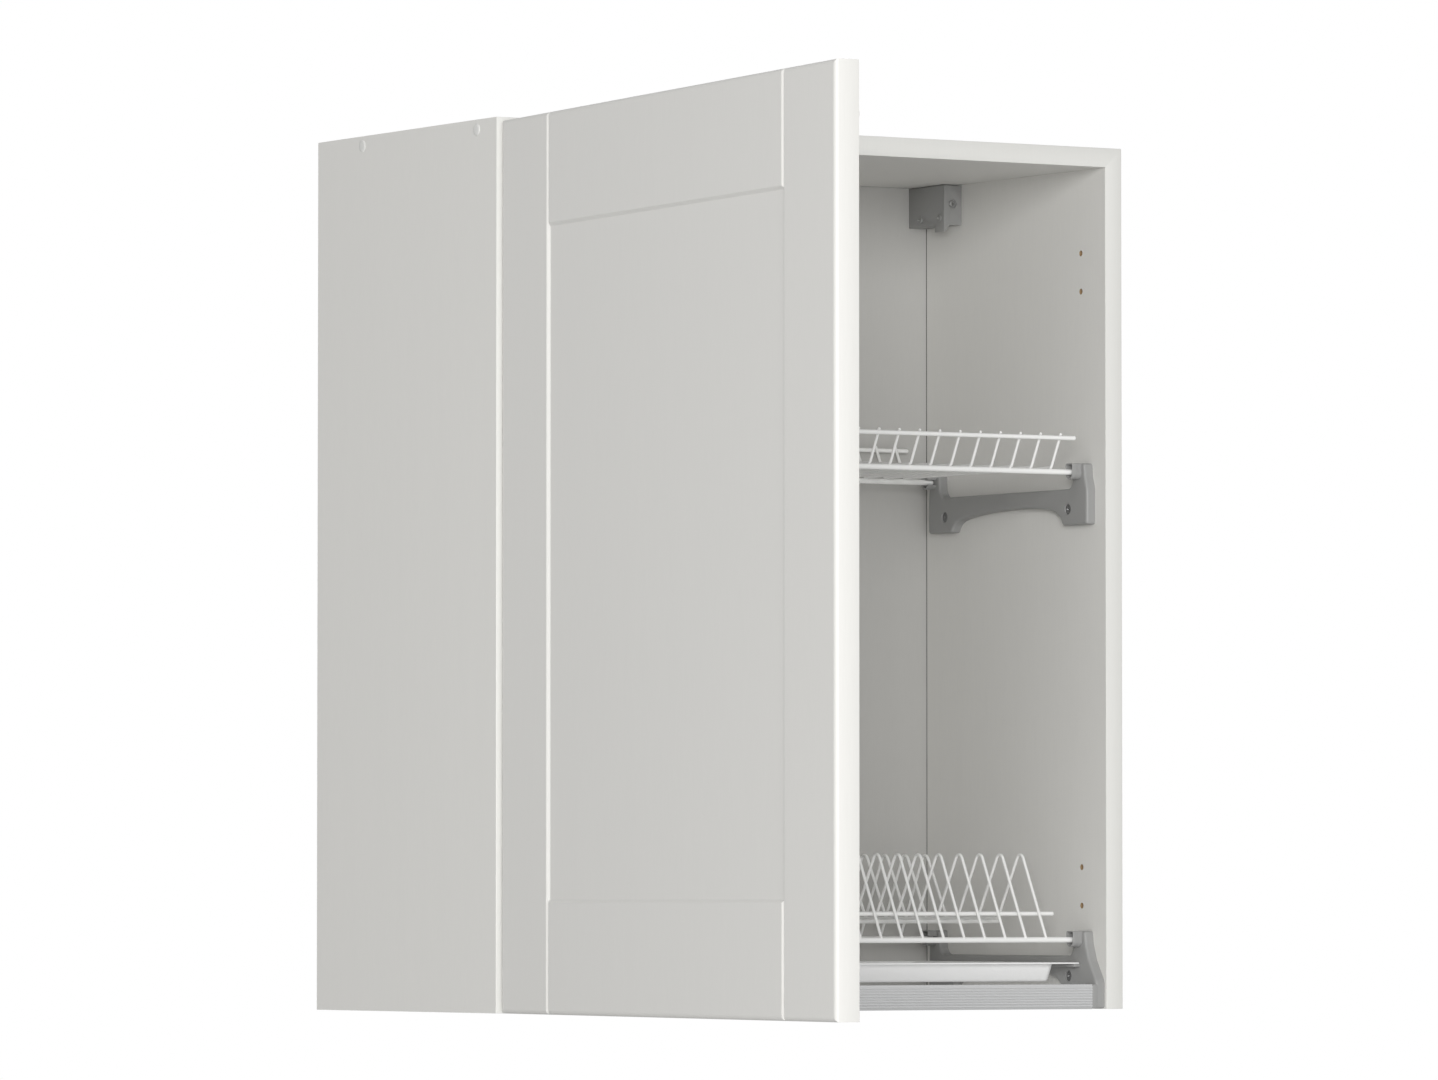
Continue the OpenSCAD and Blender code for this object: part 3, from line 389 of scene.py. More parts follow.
# Faces between neighbouring rings, where a ring of one point makes a fan, and a cap on each end
# that caps names
def skin(shape, rings, caps=(0, -1)):
    faces = [shape.faces.new(rings[end]) for end in caps]
    for upper, lower in zip(rings, rings[1:]):
        count = max(len(upper), len(lower))
        for k in range(count if count > 1 else 0):
            after = (k + 1) % count
            corners = (upper[k % len(upper)], lower[k % len(lower)],
                       lower[after % len(lower)], upper[after % len(upper)])
            faces.append(shape.faces.new(list(dict.fromkeys(corners))))
    bmesh.ops.recalc_face_normals(shape, faces=faces)


# Solid between x low and x high whose outline is a ring of (y, z)
def crosswise(shape, ring, low, high):
    skin(shape, [[shape.verts.new(place(x, y, z)) for y, z in ring] for x in (low, high)])


def rectangle(front, rear, low, high):
    return [(front, low), (rear, low), (rear, high), (front, high)]


# Turned solid; the profile is (radius, height) from the top of its axis to the bottom
def turned(profile, sides):
    shape = bmesh.new()
    rings = []
    for radius, height in profile:
        angles = circle(sides) if radius > 0 else [0.0]
        rings.append([shape.verts.new((
            radius * mm * math.cos(angle), radius * mm * math.sin(angle), height * mm,
        )) for angle in angles])
    skin(shape, rings, ())
    return shape


# Geometry Nodes trees

def newTree(name, sockets):
    tree = bpy.data.node_groups.new(name, "GeometryNodeTree")
    face = tree.interface.new_socket
    face("Geometry", in_out="INPUT", socket_type="NodeSocketGeometry")
    for label, kind in sockets.items():
        face(label, in_out="INPUT", socket_type="NodeSocket" + kind)
    face("Geometry", in_out="OUTPUT", socket_type="NodeSocketGeometry")
    graph = Graph(tree)
    given = graph.add("NodeGroupInput")
    return graph, {socket.name: Value(graph, socket) for socket in given.outputs}


def closeTree(graph, geometry, material):
    loose = graph.value("GeometryNodeRealizeInstances", {"Geometry": geometry})
    painted = graph.value("GeometryNodeSetMaterial", {
        "Geometry": loose, "Material": material,
    })
    graph.add("NodeGroupOutput", {"Geometry": painted})
    return graph.tree


def runTree(piece, tree, settings):
    modifier = piece.modifiers.new(tree.name, "NODES")
    modifier.node_group = tree
    for item in tree.interface.items_tree:
        if item.in_out == "INPUT" and item.name in settings:
            modifier[item.identifier] = settings[item.name]
    return settle(piece)


# A row of bent round wires: each edge chain is one wire, repeated along x
def makeWireTree():
    graph, given = newTree("wireRow", {
        "Count": "Int", "Pitch": "Float", "Wire radius": "Float", "Bend radius": "Float",
        "Sides": "Int", "Material": "Material",
    })
    path = graph.value("GeometryNodeMeshToCurve", {"Mesh": given["Geometry"]})
    bent = graph.value("GeometryNodeFilletCurve", {
        "Curve": path, "Count": 7, "Radius": given["Bend radius"], "Limit Radius": True,
    }, {"mode": "POLY"})
    profile = graph.value("GeometryNodeCurvePrimitiveCircle", {
        "Resolution": given["Sides"], "Radius": given["Wire radius"],
    })
    wire = graph.value("GeometryNodeCurveToMesh", {
        "Curve": bent, "Profile Curve": profile, "Fill Caps": True,
    })
    ends = graph.value("GeometryNodeCurveEndpointSelection", {"Start Size": 1, "End Size": 1})
    drop = graph.value("GeometryNodeMeshUVSphere", {
        "Segments": given["Sides"], "Rings": 6, "Radius": given["Wire radius"] * 1.04,
    })
    tips = graph.value("GeometryNodeInstanceOnPoints", {
        "Points": bent, "Selection": ends, "Instance": drop,
    })
    single = graph.add("GeometryNodeJoinGeometry")
    for part in (wire, tips):
        graph.tree.links.new(part.socket, single.inputs[0])
    smooth = graph.value("GeometryNodeSetShadeSmooth", {
        "Geometry": Value(graph, single.outputs[0]),
    })
    start = given["Pitch"] * (given["Count"] - 1) * -0.5
    row = graph.value("GeometryNodeMeshLine", {
        "Count": given["Count"],
        "Start Location": graph.value("ShaderNodeCombineXYZ", {"X": start}),
        "Offset": graph.value("ShaderNodeCombineXYZ", {"X": given["Pitch"]}),
    }, {"mode": "OFFSET"})
    wires = graph.value("GeometryNodeInstanceOnPoints", {"Points": row, "Instance": smooth})
    return closeTree(graph, wires, given["Material"])


# Copies a pattern object to each point, with its own z axis along the point's facing
def makeScatterTree():
    graph, given = newTree("scatter", {"Pattern": "Object", "Material": "Material"})
    pattern = graph.value(
        "GeometryNodeObjectInfo", {"Object": given["Pattern"]}, output="Geometry")
    facing = graph.value(
        "GeometryNodeInputNamedAttribute", {"Name": "facing"}, {"data_type": "FLOAT_VECTOR"})
    turn = graph.value("FunctionNodeAlignRotationToVector", {"Vector": facing}, {"axis": "Z"})
    copies = graph.value("GeometryNodeInstanceOnPoints", {
        "Points": given["Geometry"], "Instance": pattern, "Rotation": turn,
    })
    return closeTree(graph, copies, given["Material"])


# Repeats the piece's own mesh a number of times along a step
def makeRepeatTree():
    graph, given = newTree("repeat", {
        "Count": "Int", "Step": "Vector", "Material": "Material",
    })
    row = graph.value("GeometryNodeMeshLine", {
        "Count": given["Count"], "Offset": given["Step"],
    }, {"mode": "OFFSET"})
    copies = graph.value("GeometryNodeInstanceOnPoints", {
        "Points": row, "Instance": given["Geometry"],
    })
    return closeTree(graph, copies, given["Material"])


wireTree = makeWireTree()
scatterTree = makeScatterTree()
repeatTree = makeRepeatTree()

# Wires of the racks; each end is drawn back by tip to make room for its rounded point
wires = {
    "cross": {"radius": 1.25, "tip": 0.4, "bend": 2.5, "sides": 12},
    "divider": {"radius": 1.25, "tip": 1.25, "bend": 5.2, "sides": 12},
    "long": {"radius": 1.85, "tip": 1.85, "bend": 0.0, "sides": 16},
    "support": {"radius": 2.35, "tip": 2.35, "bend": 0.0, "sides": 20},
}


def wireRow(name, chains, kind, count=1, pitch=0.0):
    wire = wires[kind]
    shape = bmesh.new()
    for chain in chains:
        spots = [place(*point) for point in chain]
        for end, beside in ((0, 1), (-1, -2)):
            spots[end] += (spots[beside] - spots[end]).normalized() * wire["tip"] * mm
        points = [shape.verts.new(spot) for spot in spots]
        for first, second in zip(points, points[1:]):
            shape.edges.new((first, second))
    return runTree(addPiece(name, shape), wireTree, {
        "Count": count, "Pitch": pitch * mm, "Wire radius": wire["radius"] * mm,
        "Bend radius": wire["bend"] * mm, "Sides": wire["sides"],
        "Material": finishes["coated_wire"],
    })


# Straight wires along x, one through each (y, z)
def straightWires(name, half, spots, kind):
    return wireRow(name, [[(-half, y, z), (half, y, z)] for y, z in spots], kind)


def scatter(name, pattern, spots, finish):
    shape = bmesh.new()
    facings = shape.verts.layers.float_vector.new("facing")
    for spot, facing in spots:
        shape.verts.new(spot)[facings] = facing
    piece = runTree(addPiece(name, shape), scatterTree, {
        "Pattern": pattern, "Material": finishes[finish],
    })
    bpy.data.objects.remove(pattern)
    return piece


# Door, drawn flat from its hinge edge and outer face, then swung to where it stands open
door = {
    "width": 596, "height": 712, "thick": 20, "open": 95.58, "pin": (-280.2532, -16.2937),
    "pinInset": 12, "pinDepth": 2, "frame": 88, "groove": 2.2, "recess": 2.5, "lip": 0.45,
    "round": 3.5, "roundSteps": 7, "roundStrip": 0.6, "lipStrip": 0.5, "slopeLine": 1.2,
    "panelLine": 30, "nearest": 0.02, "backEdge": 0.6, "backEase": 0.3, "backStrip": 0.8,
    "hinges": (101.5, 613.5), "cupInset": 20.5, "cupHole": 17.5, "cupDepth": 11.4, "cupSides": 64,
    "cutterOut": 2,
}


def doorPlace(across, depth, up):
    turn = math.radians(-door["open"])
    x = across - door["pinInset"]
    y = depth + door["pinDepth"] - door["thick"]
    return place(
        door["pin"][0] + x * math.cos(turn) - y * math.sin(turn),
        door["pin"][1] + x * math.sin(turn) + y * math.cos(turn), up,
    )


# Slope of 45 degrees down to a depth, with both of its ends eased
def easedSlope(run, depth, ease):
    if run <= -ease:
        return 0.0
    if run < ease:
        return (run + ease) ** 2 / (4 * ease)
    if run < depth - ease:
        return run
    if run < depth + ease:
        return depth - (depth + ease - run) ** 2 / (4 * ease)
    return depth


def grooveDepth(away):
    half, ease = door["groove"], door["lip"]
    if away < ease:
        return half - (away * away + ease * ease) / (2 * ease)
    return easedSlope(half - away, half + 1, ease) if away < half + ease else 0.0


def roundDrop(inset):
    radius = door["round"]
    if inset >= radius:
        return 0.0
    return radius - math.sqrt(max(radius * radius - (radius - inset) ** 2, 0.0))


def doorDepth(across, up):
    inset = min(across, door["width"] - across, up, door["height"] - up)
    start = door["frame"] - door["groove"]
    sideRun = min(across, door["width"] - across) - start
    endRun = min(up, door["height"] - up) - door["frame"]
    sunk = easedSlope(min(sideRun, endRun), door["recess"], door["lip"])
    line = min(abs(across - door["frame"]), abs(door["width"] - door["frame"] - across))
    return max(roundDrop(inset), sunk, grooveDepth(line))


# Lines of the door's mesh, close together where its face bends
def doorLines(length, start):
    half, ease, recess, strip = (door[key] for key in ("groove", "lip", "recess", "lipStrip"))
    near = [door["round"] * (1 - math.cos(angle)) for angle in quarter(door["roundSteps"])]
    near.append(door["round"] + door["roundStrip"])
    eased = (-ease, -ease / 2, 0, ease / 2, ease)
    runs = [bend + step for bend in (0, recess, half) for step in eased]
    runs += [2 * half + step for step in eased[::2]]
    runs += [-ease - strip, door["slopeLine"], recess + ease + strip, 2 * half + ease + strip]
    near += [start + run for run in runs]
    values = near + [length - value for value in near]
    values += [start + door["panelLine"], length - start - door["panelLine"], length / 2]
    kept = []
    for value in sorted(values):
        if not kept or value - kept[-1] > door["nearest"]:
            kept.append(value)
    return kept


def cupCutter(height):
    shape = bmesh.new()
    inset, radius = door["cupInset"], door["cupHole"]
    skin(shape, [[
        shape.verts.new(doorPlace(
            inset + radius * math.cos(angle), depth, height + radius * math.sin(angle)))
        for angle in circle(door["cupSides"])
    ] for depth in (door["thick"] - door["cupDepth"], door["thick"] + door["cutterOut"])])
    return addPiece("cupBore", shape)


def makeDoor():
    shape = bmesh.new()
    columns = doorLines(door["width"], door["frame"] - door["groove"])
    rows = doorLines(door["height"], door["frame"])
    grid = [[doorDepth(across, up) for up in rows] for across in columns]
    verts = [[shape.verts.new(doorPlace(across, depth, up)) for up, depth in zip(rows, depths)]
             for across, depths in zip(columns, grid)]
    lastI, lastJ = len(columns) - 1, len(rows) - 1
    for i in range(lastI):
        for j in range(lastJ):
            a, b, c, d = verts[i][j], verts[i + 1][j], verts[i + 1][j + 1], verts[i][j + 1]
            bend = grid[i][j] + grid[i + 1][j + 1] - grid[i + 1][j] - grid[i][j + 1]
            if abs(bend) <= 1e-5:
                cells = ((a, b, c, d),)
            elif (i < lastI / 2) == (j < lastJ / 2):
                cells = (a, b, c), (a, c, d)
            else:
                cells = (a, b, d), (b, c, d)
            for cell in cells:
                shape.faces.new(cell)
    rim = [(i, 0) for i in range(lastI)] + [(lastI, j) for j in range(lastJ)]
    rim += [(i, lastJ) for i in range(lastI, 0, -1)] + [(0, j) for j in range(lastJ, 0, -1)]
    thick, edge = door["thick"], door["backEdge"]
    ease = edge * door["backEase"]
    rings = [[verts[i][j] for i, j in rim]]
    for inset, depth in ((0, thick - edge), (ease, thick - ease),
                         (edge, thick), (edge + door["backStrip"], thick)):
        rings.append([shape.verts.new(doorPlace(
            min(max(columns[i], inset), door["width"] - inset), depth,
            min(max(rows[j], inset), door["height"] - inset),
        )) for i, j in rim])
    skin(shape, rings, (-1,))
    bmesh.ops.remove_doubles(shape, verts=shape.verts, dist=0.000001)
    faceOutwards(shape)
    leaf = addPiece("doorLeaf", shape, "door_lacquer")
    cutAway(leaf, [cupCutter(height) for height in door["hinges"]])
    keep(shadeByAngle(leaf, 30), "door_front")


makeDoor()
print("door made")

# Racks; weld is how far wires sink into each other, and half is counted from the middle
rack = {
    "front": 29, "rear": 252, "weld": 0.4, "supportHalf": 275.4, "rimHalf": 261.5,
    "crossMargin": 14, "dividerMargin": 17, "longInset": 2, "cupHeight": 446, "plateHeight": 57.2,
    "fenceBend": 2, "fenceRun": 14.3, "fenceHeight": 27.3, "rimDrop": 2.2, "footOut": 1.2,
    "footUp": 0.8, "tipRun": 38, "valleyRun": 72, "valley": 17.9, "tip": 71, "legRun": 25.5,
    "valleyWire": 25, "crossCount": 26, "dividerCount": 25,
}


# Each cross wire runs from its front tip over both supports to its rear tip
def makeCupRack():
    cross, long = wires["cross"]["radius"], wires["long"]["radius"]
    ends = rack["front"] + rack["rear"]
    crossZ = rack["cupHeight"] + wires["support"]["radius"] + cross - rack["weld"]
    bendY = rack["front"] - rack["fenceBend"]
    tipY, tipZ = bendY - rack["fenceRun"], crossZ + rack["fenceHeight"]
    path = [(0, tipY, tipZ), (0, bendY, crossZ), (0, ends - bendY, crossZ), (0, ends - tipY, tipZ)]
    pitch = 2 * (rack["rimHalf"] - rack["crossMargin"]) / (rack["crossCount"] - 1)
    crossWires = wireRow("cupCrossWires", [path], "cross", rack["crossCount"], pitch)
    slope = Vector((-rack["fenceRun"], rack["fenceHeight"])).normalized()
    offset = cross + long - rack["weld"]
    rimY = tipY - rack["rimDrop"] * slope.x - offset * slope.y
    rimZ = tipZ - rack["rimDrop"] * slope.y + offset * slope.x
    rims = straightWires("cupRims", rack["rimHalf"], [(rimY, rimZ), (ends - rimY, rimZ)], "long")
    supports = straightWires("cupSupports", rack["supportHalf"], [
        (rack["front"], rack["cupHeight"]), (rack["rear"], rack["cupHeight"]),
    ], "support")
    keep(crossWires, "cup_rack_floor", "cup_rack_front_fence", "cup_rack_rear_fence")
    keep(rims, "cup_rack_floor", adds=True)
    keep(supports, "cup_rack_floor", adds=True)


# M-shaped dividers over support wires, long wires inside the legs and under the valleys
def makePlateRack():
    base, run = rack["plateHeight"], rack["legRun"]
    front, rear = rack["front"], rack["rear"]
    apex = rack["tip"] + wires["divider"]["bend"]
    leg = Vector((rack["tipRun"], apex)).normalized()
    foot, low = base + rack["footUp"], base + rack["valley"]
    path = [
        (0, front - rack["footOut"], foot), (0, front + rack["tipRun"], base + apex),
        (0, front + rack["valleyRun"], low), (0, rear - rack["valleyRun"], low),
        (0, rear - rack["tipRun"], base + apex), (0, rear + rack["footOut"], foot),
    ]
    longHalf = rack["rimHalf"] - rack["longInset"]
    pitch = 2 * (longHalf - rack["dividerMargin"]) / (rack["dividerCount"] - 1)
    dividers = wireRow("plateDividers", [path], "divider", rack["dividerCount"], pitch)
    away = wires["divider"]["radius"] + wires["long"]["radius"] - rack["weld"]
    legY, legZ = run * leg.x + away * leg.y, base + run * leg.y - away * leg.x
    valleyY = rack["valleyRun"] + rack["valleyWire"]
    longs = straightWires("plateLongWires", longHalf, [
        (front + legY, legZ), (rear - legY, legZ),
        (front + valleyY, low - away), (rear - valleyY, low - away),
    ], "long")
    supports = straightWires(
        "plateSupports", rack["supportHalf"], [(front, base), (rear, base)], "support")
    keep(dividers, "plate_rack_dividers")
    keep(longs, "plate_rack_rails")
    keep(supports, "plate_rack_rails", adds=True)


makeCupRack()
makePlateRack()
print("racks made")

# Brackets; depths are from the front edges and heights from the axis of the support wires. The
# outlines are (depth, height, corner radius), and the low blocks stand from the cabinet's bottom
bracket = {
    "thick": 8.5, "edge": 2.2, "screwY": (44.7, 234.2), "screwDrop": 30.1, "seat": 0.9,
    "seatCut": ((0, 2), (4.7, 2), (4.7, -0.9), (1.95, -3.7), (1.95, -12), (0, -12)),
    "socket": 9, "hub": 3.6, "hubRoot": 2.5, "overlap": 0.4, "socketHalf": 5.25, "socketLow": -6.1,
    "socketTop": 7.29, "wall": 1.2, "channel": 2.62, "slot": 2.1, "socketRound": 1.4,
    "hollowRound": 0.5, "socketEdge": 0.5,
    "head": ((20.4, 7.3, 2.4), (19.1, -3.6, 22)),
    "highFront": ((15.9, -14.6, 14), (15.9, -43.5, 2.4), (53.3, -43.5, 2.4)),
    "lowFront": ((14.4, -16.6, 16), (3.0, -34.5, 12), (3.0, -56.7, 2.4), (53.3, -56.7, 2.4)),
    "arch": (
        (53.3, -43.5), (56.8, -37.6), (65.4, -32.0), (80, -29.2), (103.5, -27.6), (128, -27.3),
        (153, -27.9), (178, -29.4), (200.1, -31.7), (213.5, -34.3), (219.5, -37.8), (223.7, -43.5),
    ),
    "back": (
        (223.7, -43.5, 2.4), (260, -43.5, 2.4), (260, -20.6, 30), (258.4, 7.3, 2.4),
        (243.4, 7.3, 2.4), (241.9, -13.2, 8), (38.7, -13.2, 8), (37.2, 7.3, 2.4),
    ),
    "lowBlocks": {
        "pad": {"sides": (3.0, 18.6, 0.5, 20.5), "out": 4, "root": 2.5, "edge": 1.2},
        "ledge": {"sides": (27, rack["rear"], 34.6, 37.0), "out": 6, "root": 1, "edge": 0.6},
        "lug": {"sides": (4.6, 18.4, 2.0, 18.5), "out": 16, "root": 1, "edge": 0.6},
    },
}
bracketSteps = {"arch": 5, "corner": 6, "edge": 5, "bowl": 14, "channel": 16, "socketCorner": 4}
plateX = insideX - bracket["thick"]


def bracketRing(low):
    arch = curved(bracket["arch"], bracketSteps["arch"])[2:-2]
    front = bracket["lowFront" if low else "highFront"]
    return bracket["head"] + front + tuple((y, z, 0) for y, z in arch) + bracket["back"]


# Shell and hub of a socket; both are open towards the middle of the bracket
def socketRings(y, inward):
    half, wall, slot, top, channel = (
        bracket[key] for key in ("socketHalf", "wall", "slot", "socketTop", "channel"))
    inner, middle = half - wall, bracket["socketLow"] + half
    opening = math.asin(slot / channel)

    def arc(radius, height, start, turn, steps):
        angles = [start + turn * k / steps for k in range(steps + 1)]
        return [(radius * math.cos(a), height + radius * math.sin(a), 0) for a in angles]

    def cutAngle(radius):
        return math.asin((slot + middle) / radius)

    outer, hollow = bracket["socketRound"], bracket["hollowRound"]
    bowl = [(half, slot, 0), (half, top, outer), (-half, top, outer)]
    bowl += arc(half, middle, math.pi, math.pi - cutAngle(half), bracketSteps["bowl"])
    shell = arc(
        inner, middle, -cutAngle(inner), cutAngle(inner) - math.pi, bracketSteps["bowl"])
    shell += [(-inner, top - wall, hollow), (inner, top - wall, hollow), (inner, slot, 0)]
    around = arc(channel, 0, -opening, 2 * opening - 2 * math.pi, bracketSteps["channel"])
    rounded = [roundedRing(bowl + rest, bracketSteps["socketCorner"]) for rest in (shell, around)]
    return [[(y + inward * a, c) for a, c in ring] for ring in rounded]


# Solid like crosswise, with a rounded edge all round its end at x low
def cushioned(shape, ring, low, high, edge):
    points = []
    for point in ring:
        if not points or (Vector(point) - points[-1]).length > 0.05:
            points.append(Vector(point))
    inward = []
    for index, here in enumerate(points):
        before = (here - points[index - 1]).normalized()
        after = (points[(index + 1) % len(points)] - here).normalized()
        along = (before + after).normalized()
        inward.append(Vector((-along.y, along.x)) / along.dot(after))
    levels = [(high, 0)]
    for angle in quarter(bracketSteps["edge"]):
        levels.append((low + edge * (1 - math.sin(angle)), edge * (1 - math.cos(angle))))
    skin(shape, [
        [shape.verts.new(place(x, *(here + way * inset))) for here, way in zip(points, inward)]
        for x, inset in levels
    ])


# Piece for one bracket, mirrored for the left side
def bracketPart(side, shape):
    if side < 0:
        bmesh.ops.transform(shape, matrix=Matrix.Scale(-1, 4, (1, 0, 0)), verts=shape.verts)
        bmesh.ops.reverse_faces(shape, faces=shape.faces)
    return addPiece("bracketPart", shape, "grey_plastic")


def screwSeat(side, y, z):
    cutter = turned(bracket["seatCut"], 32)
    turn = Matrix.Rotation(math.radians(-90 * side), 4, "Y")
    matrix = Matrix.Translation(place(side * plateX, y, z)) @ turn
    bmesh.ops.transform(cutter, matrix=matrix, verts=cutter.verts)
    return addPiece("screwSeat", cutter)


def makeBracket(name, side, wireZ, low, node):
    outline = bmesh.new()
    rounded = roundedRing(bracketRing(low), bracketSteps["corner"])
    ring = [(y, wireZ + z) for y, z in rounded]
    cushioned(outline, ring, plateX, insideX, bracket["edge"])
    seats = [screwSeat(side, y, wireZ - bracket["screwDrop"]) for y in bracket["screwY"]]
    parts = [cutAway(bracketPart(side, outline), seats)]
    sockets = bmesh.new()
    hubX = plateX - bracket["hub"]
    for y, inward in ((rack["front"], 1), (rack["rear"], -1)):
        shell, hub = [[(a, wireZ + c) for a, c in ring] for ring in socketRings(y, inward)]
        crosswise(sockets, hub, hubX, plateX + bracket["hubRoot"])
        crosswise(sockets, shell, plateX - bracket["socket"], hubX + bracket["overlap"])
    parts.append(soften(bracketPart(side, sockets), bracket["socketEdge"], 3, 40))
    for block in bracket["lowBlocks"].values() if low else ():
        solid = bmesh.new()
        crosswise(solid, rectangle(*block["sides"]), plateX - block["out"], plateX + block["root"])
        parts.append(soften(bracketPart(side, solid), block["edge"], 3, 40))
    keep(shadeByAngle(joined(name, parts), 34), node)


for level, wireZ in (("upper", rack["cupHeight"]), ("lower", rack["plateHeight"])):
    for side, hand in ((-1, "left"), (1, "right")):
        name = level + hand.title() + "Bracket"
        makeBracket(name, side, wireZ, level == "lower", f"{level}_{hand}_bracket")
print("brackets made")

# Drip tray: a thin shell from nested rounded rectangles
tray = {
    "half": 275.2, "front": 26, "rear": 262, "top": 38.4, "depth": 14.4, "rimSide": 21,
    "rimEnd": 9, "rimStrip": 1.5, "wallRun": 2.8, "thick": 1.25, "corner": 6, "cornerDrop": 0.5,
    "outerCorner": 2.5, "bend": 1.4, "bendSteps": 4, "foot": 1.5, "footSteps": 5, "edge": 0.4,
}


def makeTray():
    shape = bmesh.new()
    middle = (tray["front"] + tray["rear"]) / 2
    halfDepth = (tray["rear"] - tray["front"]) / 2
    top, bend, foot = tray["top"], tray["bend"], tray["foot"]

    def loop(insetX, insetY, z, corner):
        a, b = tray["half"] - insetX, halfDepth - insetY
        corners = [(x, y, corner) for x, y in ((-a, -b), (a, -b), (a, b), (-a, b))]
        return [shape.verts.new(place(x, middle + y, z)) for x, y in roundedRing(corners, 8)]

    rings = [loop(inset, inset, top, tray["outerCorner"]) for inset in (0, tray["rimStrip"])]
    levels = []
    for angle in quarter(tray["bendSteps"]):
        run = bend * (math.sin(angle) - 1)
        levels.append((run, bend * (1 - math.cos(angle)), run))
    for angle in quarter(tray["footSteps"]):
        run = tray["wallRun"] + foot * (1 - math.cos(angle))
        levels.append((run, tray["depth"] - foot * (1 - math.sin(angle)), run * tray["cornerDrop"]))
    for run, drop, tighter in levels:
        rings.append(loop(
            tray["rimSide"] + run, tray["rimEnd"] + run, top - drop, tray["corner"] - tighter))
    skin(shape, rings, (-1,))
    if sum(face.normal.z * face.calc_area() for face in shape.faces) < 0:
        bmesh.ops.reverse_faces(shape, faces=shape.faces)
    piece = addPiece("dripTray", shape, "tray_plastic")
    wall = piece.modifiers.new("wall", "SOLIDIFY")
    wall.thickness = tray["thick"] * mm
    wall.offset = -1
    wall.use_even_offset = True
    keep(shadeByAngle(soften(piece, tray["edge"], 2, 60), 40), "drip_tray")


makeTray()
print("tray made")

# Ribbed front profile: a hollow section with fine half-round ribs on its face
profile = {
    "half": 271.4, "front": 2.6, "depth": 16, "height": 20.5, "wall": 1.6, "edge": 0.35,
    "margin": 1.5, "ribs": 8, "ribOut": 0.5, "ribHalf": 0.36, "rootHalf": 0.38, "root": 0.05,
    "ribSteps": 6, "screwIn": 10, "screwBack": 8,
}


def makeProfile():
    front, wall, height, half = (profile[key] for key in ("front", "wall", "height", "half"))
    rear = front + profile["depth"]
    section = bmesh.new()
    crosswise(section, [
        (front, 0), (rear, 0), (rear, wall), (front + wall, wall), (front + wall, height - wall),
        (rear, height - wall), (rear, height), (front, height),
    ], -half, half)
    body = soften(addPiece("profileBody", section, "aluminium_profile"), profile["edge"], 2, 50)
    pitch = (height - 2 * profile["margin"]) / profile["ribs"]
    middle, root = profile["margin"] + pitch / 2, front + profile["root"]
    arc = [(root, middle - pitch * profile["rootHalf"])]
    for step in range(profile["ribSteps"] + 1):
        angle = math.pi * step / profile["ribSteps"]
        arc.append((front - profile["ribOut"] * math.sin(angle),
                    middle - pitch * profile["ribHalf"] * math.cos(angle)))
    arc.append((root, middle + pitch * profile["rootHalf"]))
    single = bmesh.new()
    crosswise(single, arc, -half, half)
    ribs = runTree(addPiece("profileRib", single), repeatTree, {
        "Count": profile["ribs"], "Step": (0, 0, pitch * mm),
        "Material": finishes["aluminium_profile"],
    })
    whole = joined("frontProfileRibbed", [body, ribs])
    keep(shadeByAngle(whole, 38), "front_profile")


makeProfile()
print("profile made")

# Screws; rise is a raised head's height, and sink a countersunk head's depth
screws = {
    "bracket": {"head": 4.5, "sink": 2.8, "shank": 1.85, "length": 16, "cross": 2.7},
    "arm": {"head": 3.6, "rise": 1.4, "shank": 1.9, "length": 11, "cross": 2.2},
    "plate": {"head": 4.0, "rise": 1.6, "shank": 2.1, "length": 12, "cross": 2.4},
    "cup": {"head": 3.0, "rise": 0.5, "shank": 1.6, "length": 12.5, "cross": 1.7},
    "hanger": {"head": 3.4, "rise": 1.2, "shank": 1.7, "length": 28, "cross": 2.3},
    "profile": {"head": 3.0, "sink": 1.4, "shank": 1.45, "length": 11, "cross": 1.8},
    "release": {"head": 2.4, "rise": 0.5, "shank": 1.6, "length": 6, "cross": 1.9},
    "adjuster": {"head": 2.8, "rise": 1.2, "shank": 2.5, "length": 15, "cross": 1.9},
}
raisedHead = {"steps": 6, "crown": 0.45, "rim": 0.25, "fullness": 0.8}
flatHead = {"low": 0.05, "round": 0.25, "rimTop": 0.2, "rimLow": 0.35}
tipLength = 1.5
recess = {
    "arm": 0.17, "above": 0.3, "wide": 1.05, "narrow": 0.5, "deepest": 1.5,
    "sizeShare": 0.55, "riseShare": 0.3,
}


def crossCutter(size, rise):
    half = size * recess["arm"]
    cross = []
    for x, y in ((1, 0), (0, 1), (-1, 0), (0, -1)):
        cross += [(x * size + y * half, y * size - x * half),
                  (x * size - y * half, y * size + x * half), (half * (x - y), half * (x + y))]
    reach = recess["sizeShare"] * size + rise * recess["riseShare"]
    low = rise - min(recess["deepest"], reach)
    shape = bmesh.new()
    skin(shape, [
        [shape.verts.new((a * scale * mm, b * scale * mm, z * mm)) for a, b in cross]
        for scale, z in ((recess["wide"], rise + recess["above"]), (recess["narrow"], low))
    ])
    return addPiece("crossRecess", shape)


